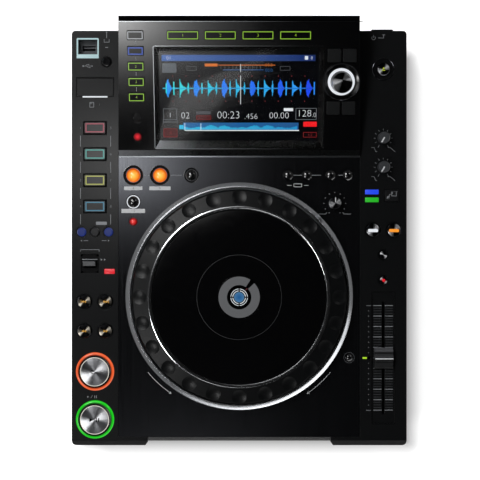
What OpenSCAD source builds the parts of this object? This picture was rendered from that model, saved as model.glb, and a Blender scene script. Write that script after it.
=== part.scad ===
// Tabletop DJ disc player: slot-loading drive, tilted screen block, jog wheel and two key strips.
// X runs to the right, +Y to the back, Z up. The origin is under the middle of the body, on the table.

/* [Body] */
// Overall width
body_w = 320; // [310:1:350]
// Overall depth, front edge to the back of the screen block
body_d = 406; // [402:1:440]
// Height of the deck above the tray's underside
body_h = 73; // [70:1:90]
// How far the key strips stop short of the block's back
strip_set = 8.7; // [7:0.1:12]
// Radius of the case's upright corners
corner_r = 3.5; // [2:0.5:5]
// Wall of the moulded case
case_t = 2.5; // [2.2:0.1:3]
// Plan depth of the bevel along the front edge
bevel_d = 5.8; // [3:0.1:6.5]
// Height of that bevel
bevel_h = 7; // [4:0.5:10]
// Width of the middle of the front, which is set back
middle_w = 174.8; // [160:1:190]
// How far the middle of the front is set back
middle_set = 4.4; // [2:0.1:5]
// Slope of the sides of that setback, width per depth
middle_flare = 0.65; // [0:0.05:1]

/* [Tray and feet] */
// Height of the tray's walls
tray_h = 30; // [20:1:32]
// Thickness of the tray's sheet steel
tray_t = 1.5; // [1:0.1:2]
// How far the tray's walls stand in from the case's outer faces
tray_in = 1.2; // [0.5:0.1:1.5]
// Height of a rubber foot
foot_h = 7; // [5:0.5:12]
// Radius of a rubber foot
foot_r = 17; // [12:0.5:20]
// Foot centre, in from the sides
foot_x = 30; // [24:1:60]
// Foot centre, in from the front and back
foot_y = 36; // [26:1:60]

/* [Deck plate] */
// Width of the deck plate between the key strips
deck_w = 230.8; // [229:0.2:234]
// Thickness of the deck plate
deck_t = 2.5; // [2.2:0.1:3]
// Front edge of the deck plate, from the front
deck_front = 9.2; // [9:0.1:12]
// Width of the ledge that carries the deck plate
ledge_w = 4; // [2.5:0.5:5]
// Height of that ledge
ledge_h = 2.5; // [2:0.5:4]
// Gap round the deck plate
deck_gap = 0.2; // [0.1:0.05:0.4]

/* [Screen block] */
// Depth of the block at its foot
block_d = 128; // [127:0.5:140]
// Height of the block above the deck
block_h = 33.8; // [30:0.2:40]
// Height of the block's front lip
lip_h = 4; // [3:0.1:6]
// Depth of the lip's slope
lip_d = 5; // [4:0.1:6]
// Depth of the bevel at the back of the block
back_bevel = 6.3; // [5:0.1:8]
// Height of that bevel
back_drop = 6.8; // [5:0.1:9]
// How far each side leans in from foot to top
block_draft = 3.9; // [0:0.1:4.4]
// Wall of the block's shell
block_t = 2.5; // [2.2:0.1:3]
// Wall of the block's sides
block_side_t = 2.2; // [1.6:0.1:2.4]
// Height of the underside of the block's overhang above the deck
overhang_h = 1; // [0.5:0.1:3]

/* [Screen] */
// Width of the cover glass
glass_w = 159.5; // [157:0.5:162]
// Depth of the cover glass along the slope
glass_d = 95.9; // [94:0.1:98]
// Thickness of the cover glass
glass_t = 1.2; // [0.8:0.1:1.4]
// Start of the glass up the slope
glass_v = 1.4; // [1:0.1:3]
// Width of the lit screen
lcd_w = 150.4; // [140:0.2:152]
// Depth of the lit screen
lcd_d = 82.2; // [76:0.2:84]
// Start of the lit screen up the slope
lcd_v = 9; // [8.5:0.1:11]
// Rim of the display module round the lit screen
module_rim = 3; // [2:0.5:3.5]
// Thickness of the display module
module_t = 6; // [4:0.5:8]

/* [Block keys] */
// Upper row of keys, up the slope
top_row = 107.4; // [106:0.1:108.5]
// Source keys: centre from the middle
source_x = 96.3; // [94:0.1:98]
// Source key width
source_w = 14.7; // [12:0.1:16]
// Source key depth
source_d = 8.3; // [6:0.1:10]
// Source key pitch
source_pitch = 14.3; // [13:0.1:14.8]
// Time-mode key radius
time_r = 3.5; // [2.5:0.1:4.5]
// Time-mode key up the slope
time_v = 30.8; // [28:0.1:34]
// Quantize key radius
quantize_r = 3.8; // [2.5:0.1:4.5]
// Quantize key up the slope
quantize_v = 12.6; // [11:0.1:16]
// Menu key width
menu_w = 28.7; // [24:0.1:31]
// Menu key depth
menu_d = 7.8; // [6:0.1:9]
// Menu key pitch
menu_pitch = 34.8; // [33:0.1:36]

/* [Selector] */
// Selector centre from the middle
selector_x = 95.7; // [95:0.1:96]
// Selector centre up the slope
selector_v = 64.5; // [62:0.1:68]
// Radius of the dished collar round the selector
collar_r = 17.3; // [16:0.1:17.4]
// Height of that collar
collar_h = 2.2; // [1.5:0.1:2.6]
// Radius of the lit ring
selector_lit_r = 12.6; // [11.5:0.1:13]
// Radius of the knob at its skirt
selector_r = 9.8; // [9:0.1:10.4]
// Radius of the knob at its top
selector_top_r = 9; // [8:0.1:9.2]
// Height of the knob
selector_h = 10.8; // [9:0.1:11]
// Radius of the selector's shaft
selector_shaft_r = 3; // [2.5:0.1:4]
// Running clearance of the knob on its shaft
selector_fit = 0.05; // [0.03:0.01:0.1]
// Push of the selector
selector_push = 0.8; // [0.5:0.1:1]
// Pad key width
pad_w = 12.4; // [11:0.1:12.8]
// Pad key depth
pad_d = 12.4; // [10:0.1:12.6]
// Pad key pitch across
pad_pitch = 14.4; // [13.8:0.1:14.8]
// Pad rows above and below the selector
pad_row = 24.4; // [24.2:0.1:25]

/* [Jog wheel] */
// Jog centre, from the front
jog_y = 143.8; // [141:0.1:146]
// Outer radius of the silver trim ring
trim_r = 108.8; // [107:0.1:110]
// Width of the trim ring
trim_w = 5.2; // [4.5:0.1:5.6]
// Height of the trim ring above the deck
trim_h = 2.5; // [1.5:0.1:3.5]
// Outer radius of the jog wheel
jog_r = 101.3; // [99:0.1:102]
// Height of the jog plate above the deck
jog_h = 20; // [18:0.5:24]
// Drop of the wheel's shoulder from the plate
shoulder_drop = 3; // [2:0.1:4]
// Radius of the jog plate
plate_r = 81.8; // [80:0.1:83]
// Thickness of the jog plate
plate_t = 3; // [2:0.1:4]
// Width of the bevelled ring round the plate
jog_bevel_w = 3.2; // [2:0.1:4]
// Gap round the plate
plate_gap = 0.5; // [0.4:0.1:0.8]
// Push of the plate
plate_push = 0.3; // [0.2:0.05:0.4]
// Wall of the wheel
jog_t = 2.5; // [2:0.1:3]
// Number of finger dimples
dimples = 24; // [12:1:30]
// Dimple radius
dimple_r = 7; // [5:0.1:7.5]
// Dimple depth
dimple_depth = 1.2; // [0.6:0.1:1.4]
// Dimple centre, in from the wheel's edge
dimple_in = 7.4; // [7:0.1:9]
// Radius of the jog's fixed spindle
spindle_r = 14; // [12:0.5:16]
// Bore of the spindle, for wires
spindle_bore = 9; // [6:0.5:10]
// Running clearance of the wheel on its spindle
jog_fit = 0.05; // [0.03:0.01:0.1]
// Radius of the centre display
dial_r = 20.4; // [19:0.1:22]
// Depth of the jog's carrier below the deck plate
carrier_h = 9.5; // [8:0.5:10]
// Wall of the carrier
carrier_t = 2; // [1.5:0.1:3]
// Radius of the carrier
carrier_r = 110; // [109.6:0.1:110.4]

/* [Keys] */
// Gap round a key in its hole
key_gap = 0.3; // [0.2:0.05:0.4]
// Gap between a key's flange and the panel above it
seat_gap = 0.3; // [0.2:0.05:0.5]
// Width of a key's flange beyond its cap
flange_w = 1.2; // [0.8:0.1:1.4]
// Thickness of a key's flange
flange_t = 1; // [0.8:0.1:1.4]
// Radius of a key's stem
stem_r = 1.8; // [1.5:0.1:2.2]
// Bevel round the top of a key
key_edge = 0.4; // [0.2:0.1:0.6]
// Travel of a small key
key_travel = 0.8; // [0.5:0.1:1.2]
// How far a small key stands above its panel
key_proud = 1.8; // [1.4:0.1:2.4]
// Depth of the wells round the keys
well_h = 1; // [0.6:0.1:1.2]
// Drop from a panel's underside to the key board
board_drop = 12; // [11:0.5:13]
// Thickness of the boards
board_t = 1.6; // [1:0.2:2]
// Height of a tact switch
switch_h = 5; // [4:0.1:6]
// Width of a tact switch
switch_w = 6; // [5:0.1:6.5]

/* [Play and cue] */
// Play key, from the front
play_y = 26; // [24:0.1:28]
// Pitch from play to cue
cue_pitch = 45.8; // [44:0.1:48]
// Radius of the play and cue caps
play_r = 13.6; // [12:0.1:14]
// Outer radius of their lit rings
play_ring_r = 18.2; // [17:0.1:18.6]
// Wall between the cap's hole and the lit ring
play_ring_gap = 0.5; // [0.3:0.1:0.8]
// How far the caps stand above the strip
play_proud = 3.2; // [2.6:0.1:4]
// Travel of the play and cue keys
play_travel = 1.2; // [0.8:0.1:1.5]

/* [Search keys] */
// Search keys, from the front
search_y = 110.5; // [109:0.1:113]
// Pitch from search to track search
search_pitch = 28.1; // [26:0.1:30]
// Radius of the search and sync keys
search_r = 6.5; // [5:0.1:7]
// Pitch across a pair of those keys
pair_pitch = 20; // [19:0.1:21]

/* [Direction lever] */
// Direction lever, from the front
lever_y = 174.8; // [173:0.1:177]
// Lever centre, outwards from mid-strip
lever_x = 5.1; // [4:0.1:6]
// Width of the lever's paddle
lever_w = 12.8; // [10:0.1:13]
// Thickness of the paddle
lever_t = 4.6; // [4:0.1:5]
// Height of the paddle above the strip
lever_h = 5; // [3:0.1:7]
// Drop of the lever's pivot below the strip's underside
lever_drop = 4; // [3.6:0.1:5]
// Radius of the lever's pivot pins
lever_pin_r = 1.5; // [1.2:0.1:1.8]
// Running clearance of those pins
pin_fit = 0.05; // [0.03:0.01:0.1]
// Tilt of the lever each way
lever_tilt = 10; // [6:1:12]
// Width of the lever's recess
lever_well_w = 17.1; // [16:0.1:18]
// Depth of the lever's recess
lever_well_d = 18.3; // [16:0.1:19]
// Reverse lamp width
rev_w = 10.8; // [9:0.1:11.5]
// Reverse lamp depth
rev_d = 5.5; // [4:0.1:6.5]
// Reverse lamp, from the front
rev_y = 167.4; // [165:0.1:169]
// Reverse lamp, inwards from mid-strip
rev_x = 13.8; // [13.4:0.1:14.5]

/* [Hot cues and bank] */
// Lowest hot-cue key, from the front
hot_y = 229.4; // [227:0.1:231]
// Hot-cue pitch
hot_pitch = 25; // [24:0.1:26]
// Hot-cue key width
hot_w = 19.4; // [17:0.1:20]
// Hot-cue key depth
hot_d = 10; // [8:0.1:11]
// Margin of the well round a hot-cue key
hot_margin = 1.6; // [1:0.1:2]
// Bank keys, from the front
bank_y = 205; // [203:0.1:207]
// Radius of the small round strip keys
bank_r = 4; // [3:0.1:4.4]
// Bank key pitch
bank_pitch = 12.85; // [12.4:0.05:13.4]

/* [Media ports] */
// USB port centre, from the front
usb_y = 381.9; // [380.5:0.1:382.6]
// USB port centre, outwards from mid-strip
usb_x = 7; // [6:0.1:8]
// Width of the USB port's well
usb_w = 18.5; // [17:0.1:19]
// Depth of the USB port's well along the strip
usb_d = 14.2; // [13:0.1:15]
// Width of the lit frame round the well
usb_frame = 1.3; // [0.8:0.1:1.5]
// Depth of the media wells below the strip
media_well = 9; // [8:0.5:10]
// USB-stop key, from the front
stop_y = 367.6; // [366:0.1:369]
// USB-stop key, inwards from mid-strip
stop_x = 11.1; // [10:0.1:12]
// SD bay centre, from the front
sd_y = 343.6; // [341:0.1:345]
// SD door width
sd_w = 34.7; // [33:0.1:36]
// SD door depth
sd_d = 17; // [15:0.1:18]
// SD door thickness
sd_t = 1.3; // [1.1:0.1:1.5]
// Rim that the SD door closes on
sd_rim = 1.6; // [1.2:0.1:2]
// Opening of the SD door
sd_open = 95; // [80:1:100]

/* [Right strip] */
// Eject key, from the front
eject_y = 360.4; // [358:0.1:363]
// Eject key radius
eject_r = 6; // [5:0.1:6.5]
// Radius of the well round the eject key
eject_well_r = 10.7; // [9:0.1:11.5]
// Touch knob, from the front
touch_y = 294.7; // [292:0.1:297]
// Pitch from release knob to touch knob
touch_pitch = 27.8; // [26:0.1:30]
// Radius of the small knobs
knob_r = 5.5; // [4.5:0.1:6]
// Height of the small knobs
knob_h = 9; // [7:0.5:12]
// Radius of a small knob's shaft
knob_shaft_r = 3; // [2:0.1:3.2]
// Jog-mode key, from the front
mode_y = 239.9; // [238:0.1:242]
// Jog-mode key, outwards from mid-strip
mode_x = 8; // [7.5:0.1:9]
// Jog-mode key width
mode_w = 13; // [11:0.1:14]
// Jog-mode key depth
mode_d = 11; // [9:0.1:11.5]
// Upper lamp, from the front
lamp_y = 243.3; // [242:0.1:245]
// Lamp pitch
lamp_pitch = 7.5; // [6:0.1:8]
// Lamps, inwards from mid-strip
lamp_x = 10.9; // [10.5:0.1:11.3]
// Lamp width
lamp_w = 13; // [11:0.1:14]
// Lamp depth
lamp_d = 4.7; // [4:0.1:5]
// Height of the lamps above their panel
lamp_proud = 0.3; // [0.1:0.1:0.6]
// Sync and master keys, from the front
sync_y = 206.9; // [205:0.1:209]
// Tempo-range key, from the front
range_y = 183.2; // [181:0.1:185]
// Pitch from master tempo to tempo range
range_pitch = 24.3; // [22:0.1:26]

/* [Tempo fader] */
// Middle of the fader, from the front
fader_y = 84.7; // [84:0.1:88]
// Travel of the fader
fader_travel = 100; // [90:1:102]
// Length of the fader's recess
fader_d = 125.3; // [124:0.1:128]
// Width of the fader's recess
fader_w = 21.1; // [19:0.1:23]
// Width of the fader's slot
slot_w = 2.6; // [2:0.1:3.2]
// Fader knob width
fader_knob_w = 17.5; // [15:0.1:18.5]
// Fader knob depth
fader_knob_d = 20; // [18:0.1:21]
// Fader knob height above the strip
fader_knob_h = 7; // [5:0.5:9]
// Clearance of the fader's stem in its slot
stem_gap = 0.4; // [0.3:0.05:0.6]
// Depth of the fader unit below the strip
fader_unit_h = 12; // [9:0.5:14]
// Width of the fader unit
fader_unit_w = 14; // [11:0.5:16]
// Fader lamp radius
fader_lamp_r = 1.6; // [1:0.1:2]

/* [Deck keys] */
// Loop key row, from the front
loop_y = 259.3; // [257:0.1:262]
// Loop-in key, in from the deck's side edge
loop_x = 14.2; // [13:0.1:15]
// Pitch from loop in to loop out
loop_pitch = 25.5; // [24:0.1:27]
// Pitch from loop out to reloop
reloop_pitch = 30; // [28:0.1:32]
// Radius of the loop-in and loop-out keys
loop_r = 6.4; // [5:0.1:7]
// Radius of their wells
loop_well_r = 9.3; // [8.5:0.1:10]
// Radius of the other deck keys
deck_key_r = 5; // [4:0.1:5.6]
// Radius of the wells round the other deck keys
deck_well_r = 7; // [6.5:0.1:8]
// Beat-loop key, from the front
beat_y = 233.9; // [231:0.1:236]
// Slip key, from the front
slip_y = 215; // [213:0.1:217]
// Slip key radius
slip_r = 3.8; // [3:0.1:4.4]
// Memory key, in from the deck's side edge
memory_x = 11.6; // [11:0.1:13]
// Pitch from delete to memory
delete_pitch = 16.5; // [15.5:0.1:17]
// Pitch from the forward call key to delete
call_gap = 22.5; // [20:0.1:24]
// Pitch of the two call keys
call_pitch = 18; // [16:0.1:20]
// Jog-adjust knob, in from the deck's side edge
adjust_x = 24.1; // [22:0.1:26]
// Jog-adjust knob, from the front
adjust_y = 232.4; // [231:0.1:235]
// Tempo-reset key, in from the deck's side edge
reset_x = 10.4; // [10.2:0.1:10.8]
// Tempo-reset key, from the front
reset_y = 85; // [80:0.1:86]
// Radius of the tempo-reset key
reset_r = 4; // [3:0.1:4.1]

/* [Drive] */
// Height of the disc slot's middle above the table
slot_z = 50; // [49:0.5:51]
// Width of the disc slot
slot_disc_w = 124; // [122:0.5:130]
// Height of the disc slot
slot_disc_h = 5; // [4.6:0.1:6]
// Width of the drive frame
drive_w = 150; // [144:1:160]
// Depth of the drive frame
drive_d = 172; // [165:1:180]
// Height of the drive frame
drive_h = 28; // [26:0.5:29]
// Thickness of the drive's sheet
drive_t = 1.2; // [1:0.1:1.6]
// Turntable centre, back from the drive's front
turn_y = 62; // [60:0.5:66]
// Turntable radius
turn_r = 15; // [12:0.5:17]
// Radius of the motor's shaft
motor_r = 1.5; // [1:0.1:2]
// Running clearance of the turntable's shaft
motor_fit = 0.05; // [0.03:0.01:0.1]
// Travel of the pickup sled
sled_travel = 34; // [28:1:36]
// Thickness of the slot bezel
bezel_t = 2; // [1.5:0.1:2.5]

/* [Rear] */
// Rear panel thickness
rear_t = 2; // [1.5:0.1:2.5]
// Height of the sockets above the tray
socket_z = 22; // [20:0.5:30]
// RCA barrel radius
rca_r = 4.15; // [4:0.05:4.5]
// RCA barrel length behind the panel
rca_l = 8.3; // [8:0.1:8.6]
// Audio sockets: right-hand one from the middle
audio_x = 100; // [96:1:102]
// RCA pitch
rca_pitch = 18; // [16:0.5:18.5]
// Control jack from the middle
jack_x = 42; // [40:0.5:44]
// Control jack bore radius
jack_r = 1.8; // [1.75:0.05:1.9]
// Network socket from the middle
lan_x = 20; // [18:0.5:22]
// USB device socket from the middle
device_x = -2; // [-4:0.5:0]
// Mains inlet from the middle
inlet_x = -134; // [-138:0.5:-131]
// Power key width
power_w = 20.5; // [16:0.1:22]
// Power key height
power_h = 12; // [9:0.5:13]
// Power key travel
power_travel = 2; // [1:0.1:2.4]

/* [Hidden] */
$fn = 64;
over = 1;                                   // how far a cut runs past a face

// levels
tray_z = foot_h;
floor_z = tray_z + tray_t;
tray_top = tray_z + tray_h;
deck_z = foot_h + body_h;
case_under = deck_z - case_t;
deck_under = deck_z - deck_t;
ledge_z = deck_under - ledge_h;
jog_top = deck_z + jog_h;
carrier_z = deck_under - carrier_h;

// plan
half_w = body_w / 2;
half_deck = deck_w / 2;
front_y = -body_d / 2;
back_y = body_d / 2;
strip_back = back_y - strip_set;
strip_x = (half_w + half_deck) / 2;
deck_y = front_y + deck_front;
block_y = back_y - block_d;
middle_y = front_y + middle_set;
cavity_y = middle_y + case_t + 0.5;
rear_y = strip_back - rear_t;
jog_at = [0, front_y + jog_y];

// screen block
slope_y = block_y + lip_d;
slope_z = deck_z + lip_h;
slope_run = block_d - lip_d - back_bevel;
slope_rise = block_h - lip_h;
tilt = atan(slope_rise / slope_run);
slope_l = slope_run / cos(tilt);

// key places on the strips and the deck: [x, y]
function left(x, y) = [-strip_x - x, front_y + y];
function right(x, y) = [strip_x + x, front_y + y];
play_at = left(0, play_y);
cue_at = left(0, play_y + cue_pitch);
search_at = left(0, search_y);
track_at = left(0, search_y + search_pitch);
lever_at = left(lever_x, lever_y);
rev_at = left(-rev_x, rev_y);
bank_at = left(0, bank_y);
hot_at = [for (i = [0:3]) left(0, hot_y + i * hot_pitch)];
sd_at = left(0, sd_y);
stop_at = left(-stop_x, stop_y);
usb_at = left(usb_x, usb_y);
eject_at = right(0, eject_y);
touch_at = right(0, touch_y);
release_at = right(0, touch_y - touch_pitch);
mode_at = right(mode_x, mode_y);
lamp_at = right(-lamp_x, lamp_y);
sync_at = right(0, sync_y);
range_at = right(0, range_y);
master_at = right(0, range_y - range_pitch);
fader_at = right(0, fader_y);
loop_in_at = [-half_deck + loop_x, front_y + loop_y];
loop_out_at = loop_in_at + [loop_pitch, 0];
reloop_at = loop_out_at + [reloop_pitch, 0];
beat_at = [loop_in_at.x, front_y + beat_y];
slip_at = [loop_in_at.x, front_y + slip_y];
memory_at = [half_deck - memory_x, loop_in_at.y];
delete_at = memory_at - [delete_pitch, 0];
call_at = delete_at - [call_gap, 0];
recall_at = [call_at.x - call_pitch, call_at.y];
adjust_at = [half_deck - adjust_x, front_y + adjust_y];
reset_at = [half_deck - reset_x, front_y + reset_y];

// keys on the slope: [x, distance up the slope]
source_at = [-source_x, top_row - 2 * source_pitch];
time_at = [-source_x, time_v];
quantize_at = [-source_x, quantize_v];
menu_at = [0, top_row];
selector_at = [selector_x, selector_v];

// keys below their panel
flange_drop = seat_gap + flange_t;
stem_foot = board_drop - switch_h - seat_gap;   // from the underside of a panel to a stem's end, at no travel
well_gap = 1.4;                                  // width of the plain wells round the small keys
travel_gap = 0.1;                                // space left under a stem at full travel
bar_w = 4;                                       // width of the bar that joins a set of keys
loop_dome = 3;                                   // height of the loop keys' domes
deck_dome = 2.2;                                 // height of the deck keys' domes

// jog wheel
wheel_floor = jog_top - plate_t - plate_push - 0.2;
wheel_ring_r = plate_r + plate_gap;
shoulder_z = jog_top - shoulder_drop;
spindle_top = wheel_floor - jog_t + 0.8;
trim_hole = trim_r - 2.5;

// drive
drive_front = cavity_y + 0.5;
drive_z = slot_z - drive_h / 2;
turn_at = [0, drive_front + turn_y];
disc_z = slot_z - 1;
hub_r = 7.4;
sled_w = 30;
sled_d = 24;
sled_h = 6;
rail_r = 1.5;
rail_x = sled_w / 2 - 4;
rail_y = turn_at.y + turn_r - 12;
rail_z = drive_z + drive_t + 2;

// screw bosses under the ledges: distances from the front
boss_rows = [18, 183, 298, 388];
boss_r = 4.5;
boss_x = half_deck - ledge_w + 0.6;
screw_r = 1.5;
screw_fit = 0.05;
screw_l = 12;
screw_head_r = 2.8;

// a cylinder along +Y or, centred, along X
module rod_y(x, y, z, r, h) {
    translate([x, y, z]) rotate([-90, 0, 0]) cylinder(r = r, h = h);
}

module rod_x(at, z, r, h) {
    translate([at.x, at.y, z]) rotate([0, 90, 0]) cylinder(r = r, h = h, center = true);
}

module slab(w, d, h, r = 1) {
    linear_extrude(h) {
        square([w - 2 * r, d], center = true);
        square([w, d - 2 * r], center = true);
        for (x = [-1, 1], y = [-1, 1])
            translate([x * (w / 2 - r), y * (d / 2 - r)]) circle(r = r);
    }
}

// the screen block's sloping face: x across, y up the slope, z out of it
module on_slope() {
    translate([0, slope_y, slope_z]) rotate([tilt, 0, 0]) children();
}

module on_deck() {
    translate([0, 0, deck_z]) children();
}

// ---- cuts for the keys, with the panel's face at z = 0

module round_cut(at, r, t = case_t, well_r = 0) {
    translate([at.x, at.y, -t - over]) cylinder(r = r + key_gap, h = t + 2 * over);
    translate([at.x, at.y, -well_h]) cylinder(r = max(well_r, r + well_gap), h = well_h + over);
}

module bar_cut(at, w, d, t, margin) {
    translate([at.x, at.y, -t - over]) slab(w + 2 * key_gap, d + 2 * key_gap, t + 2 * over);
    translate([at.x, at.y, -well_h]) slab(w + 2 * margin, d + 2 * margin, well_h + over);
}

// ---- keys, with the panel's face at z = 0 and the panel's thickness t

module stem(t, travel) {
    drop = stem_foot - travel - travel_gap;
    translate([0, 0, -t - seat_gap - drop]) cylinder(r = stem_r, h = drop);
}

// a round key's flange and stem, with its body up to z = top
module key_foot(r, t, top, travel) {
    translate([0, 0, -t - flange_drop]) cylinder(r = r + flange_w, h = flange_t);
    translate([0, 0, -t - flange_drop]) cylinder(r = r, h = t + flange_drop + top);
    stem(t, travel);
}

module round_key(at, r, t = case_t, proud = key_proud, travel = key_travel) {
    translate([at.x, at.y, 0]) {
        key_foot(r, t, proud - key_edge, travel);
        translate([0, 0, -key_edge]) rotate_extrude()
            polygon([[0, 0], [r, 0], [r, proud], [r - key_edge, proud + key_edge], [0, proud + key_edge]]);
    }
}

// a key with a domed cap, the dome being as high as the key stands proud
module dome_key(at, r, proud, t = deck_t, travel = key_travel) {
    ball = (r * r + proud * proud) / (2 * proud);
    translate([at.x, at.y, 0]) {
        key_foot(r, t, 0, travel);
        intersection() {
            translate([0, 0, -key_edge]) cylinder(r = r, h = key_edge + proud + over);
            translate([0, 0, proud - ball]) sphere(r = ball, $fn = 96);
        }
    }
}

module bar_key(at, w, d, t = case_t, side = flange_w) {
    proud = key_proud;
    translate([at.x, at.y, 0]) {
        translate([0, 0, -t - flange_drop]) slab(w + 2 * side, d + 2 * flange_w, flange_t);
        translate([0, 0, -t - flange_drop]) slab(w, d, t + flange_drop + proud - key_edge);
        slab(w - 2 * key_edge, d - 2 * key_edge, proud);
        stem(t, key_travel);
    }
}

// the bar that makes one moulding of a set of keys
module key_bar(from, to, t) {
    mid = (from + to) / 2;
    translate([mid.x, mid.y, -t - flange_drop])
        slab(abs(to.x - from.x) + bar_w, abs(to.y - from.y) + bar_w, flange_t);
}

speed_turn = 150;                           // where the speed knobs' pointers stand, from the back

module small_knob(at, turn) {
    translate([at.x, at.y, 0]) rotate([0, 0, turn]) {
        translate([0, 0, seat_gap]) difference() {
            union() {
                cylinder(r = knob_r, h = knob_h - 1);
                translate([0, 0, knob_h - 1]) cylinder(r1 = knob_r, r2 = knob_r - 0.8, h = 1);
            }
            translate([0, knob_r, knob_h]) cube([0.9, knob_r * 1.2, 1], center = true);
        }
        translate([0, 0, -case_t - board_drop + switch_h + seat_gap])
            cylinder(r = knob_shaft_r, h = case_t + board_drop - switch_h);
    }
}

module switch(at) {
    translate([at.x, at.y, switch_h / 2]) cube([switch_w, switch_w, switch_h], center = true);
}

// a key board: its outline is the child, its spacers reach the panel above it
module key_board(t, spacers, spacer_r = 2.5) {
    translate([0, 0, -t - board_drop]) {
        translate([0, 0, -board_t]) linear_extrude(board_t) children();
        for (p = spacers) translate([p.x, p.y, 0]) cylinder(r = spacer_r, h = board_drop);
    }
}

// ---- casing

module case_outline() {
    difference() {
        translate([0, (front_y + strip_back) / 2]) {
            square([body_w - 2 * corner_r, strip_back - front_y], center = true);
            square([body_w, strip_back - front_y - 2 * corner_r], center = true);
            for (x = [-1, 1], y = [-1, 1])
                translate([x * (half_w - corner_r), y * ((strip_back - front_y) / 2 - corner_r)])
                    circle(r = corner_r);
        }
        polygon([
            [-middle_w / 2 - (middle_set + over) * middle_flare, front_y - over],
            [middle_w / 2 + (middle_set + over) * middle_flare, front_y - over],
            [middle_w / 2, middle_y], [-middle_w / 2, middle_y]
        ]);
    }
}

module lever_ears() {
    for (x = [-1, 1])
        translate([lever_at.x + x * (lever_w / 2 + 1.4), lever_at.y, case_under - (lever_drop + 3) / 2])
            cube([2, 8, lever_drop + 3], center = true);
}

module case_bosses() {
    for (x = [-1, 1], y = boss_rows)
        translate([x * boss_x, front_y + y, floor_z]) cylinder(r = boss_r, h = ledge_z - floor_z + over);
}

module boss_bores() {
    for (x = [-1, 1], y = boss_rows)
        translate([x * boss_x, front_y + y, floor_z - over])
            cylinder(r = screw_r + screw_fit, h = screw_l + over + 0.5);
}

module strip_cuts() {
    for (p = [play_at, cue_at]) {
        translate([p.x, p.y, -case_t - over]) cylinder(r = play_r + key_gap, h = case_t + 2 * over);
        translate([p.x, p.y, -well_h]) cylinder(r = play_ring_r + deck_gap, h = well_h + over);
    }
    for (p = [search_at, track_at, sync_at], x = [-1, 1])
        round_cut(p + [x * pair_pitch / 2, 0], search_r);
    for (x = [-1:1]) round_cut(bank_at + [x * bank_pitch, 0], bank_r);
    for (p = hot_at) bar_cut(p, hot_w, hot_d, case_t, hot_margin);
    for (p = [range_at, master_at, stop_at]) round_cut(p, bank_r);
    round_cut(eject_at, eject_r, case_t, eject_well_r);
    bar_cut(mode_at, mode_w, mode_d, case_t, key_gap);
    for (p = [touch_at, release_at])
        translate([p.x, p.y, -case_t - over]) cylinder(r = knob_shaft_r + key_gap, h = case_t + 2 * over);
    // lever
    translate([lever_at.x, lever_at.y, -well_h]) slab(lever_well_w, lever_well_d, well_h + over);
    translate([lever_at.x, lever_at.y, -case_t - over])
        slab(lever_w + 2 * key_gap,
            lever_t + 2 * (lever_drop + case_t) * tan(lever_tilt) + 3, case_t + 2 * over);
    // lamps
    lamp_cut(rev_at, rev_w, rev_d);
    for (i = [0, 1]) lamp_cut(lamp_at - [0, i * lamp_pitch], lamp_w, lamp_d);
    // USB well and its frame, SD bay
    translate([usb_at.x, usb_at.y, -case_t - over]) slab(usb_w, usb_d, case_t + 2 * over);
    translate([usb_at.x, usb_at.y, -well_h])
        slab(usb_w + 2 * usb_frame, usb_d + 2 * usb_frame, well_h + over);
    translate([sd_at.x, sd_at.y, -sd_sunk - sd_t - seat_gap])
        slab(sd_w + 2 * key_gap, sd_d + 2 * key_gap, sd_t + 2 * over, 0.2);
    translate([sd_at.x, sd_at.y, -case_t - over])
        slab(sd_w - 2 * sd_rim, sd_d - 2 * sd_rim, case_t + 2 * over);
    // fader
    translate([fader_at.x, fader_at.y, -well_h]) slab(fader_w, fader_d, well_h + over, 1.5);
    translate([fader_at.x, fader_at.y, -case_t - over])
        slab(slot_w, fader_travel + fader_stem_d + 2 * stem_gap, case_t + 2 * over);
    fader_lamp_cut();
}

fader_stem_d = 7;
fader_lamp_x = strip_x - fader_w / 2 - fader_lamp_r - 1.4;

module fader_lamp_cut() {
    translate([fader_lamp_x, fader_at.y, -case_t - over]) cylinder(r = fader_lamp_r, h = case_t + 2 * over);
}

module lamp_cut(at, w, d) {
    translate([at.x, at.y, -case_t - over])
        slab(w - 2 * flange_w, d - 2 * flange_w, case_t + 2 * over, 0.5);
    translate([at.x, at.y, -well_h]) slab(w, d, well_h + over, 0.5);
}

sd_pin_r = sd_t / 2;
sd_pin_l = 1.1;
sd_sunk = 0.2;                              // how far the door lies below the strip
sd_pin_z = -sd_pin_r - sd_sunk;
sd_pin_y = sd_d / 2 - sd_pin_r;

module sd_pin(gap = 0) {
    rod_x(sd_at + [0, sd_pin_y], sd_pin_z, sd_pin_r + gap, sd_w + 2 * (sd_pin_l + 2 * gap));
}

module rear_ears() {
    for (x = [-1, 1])
        translate([x * rear_ear_x, rear_y - 5, rear_ear_z]) cube([8.2, 10, 8], center = true);
}

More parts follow.
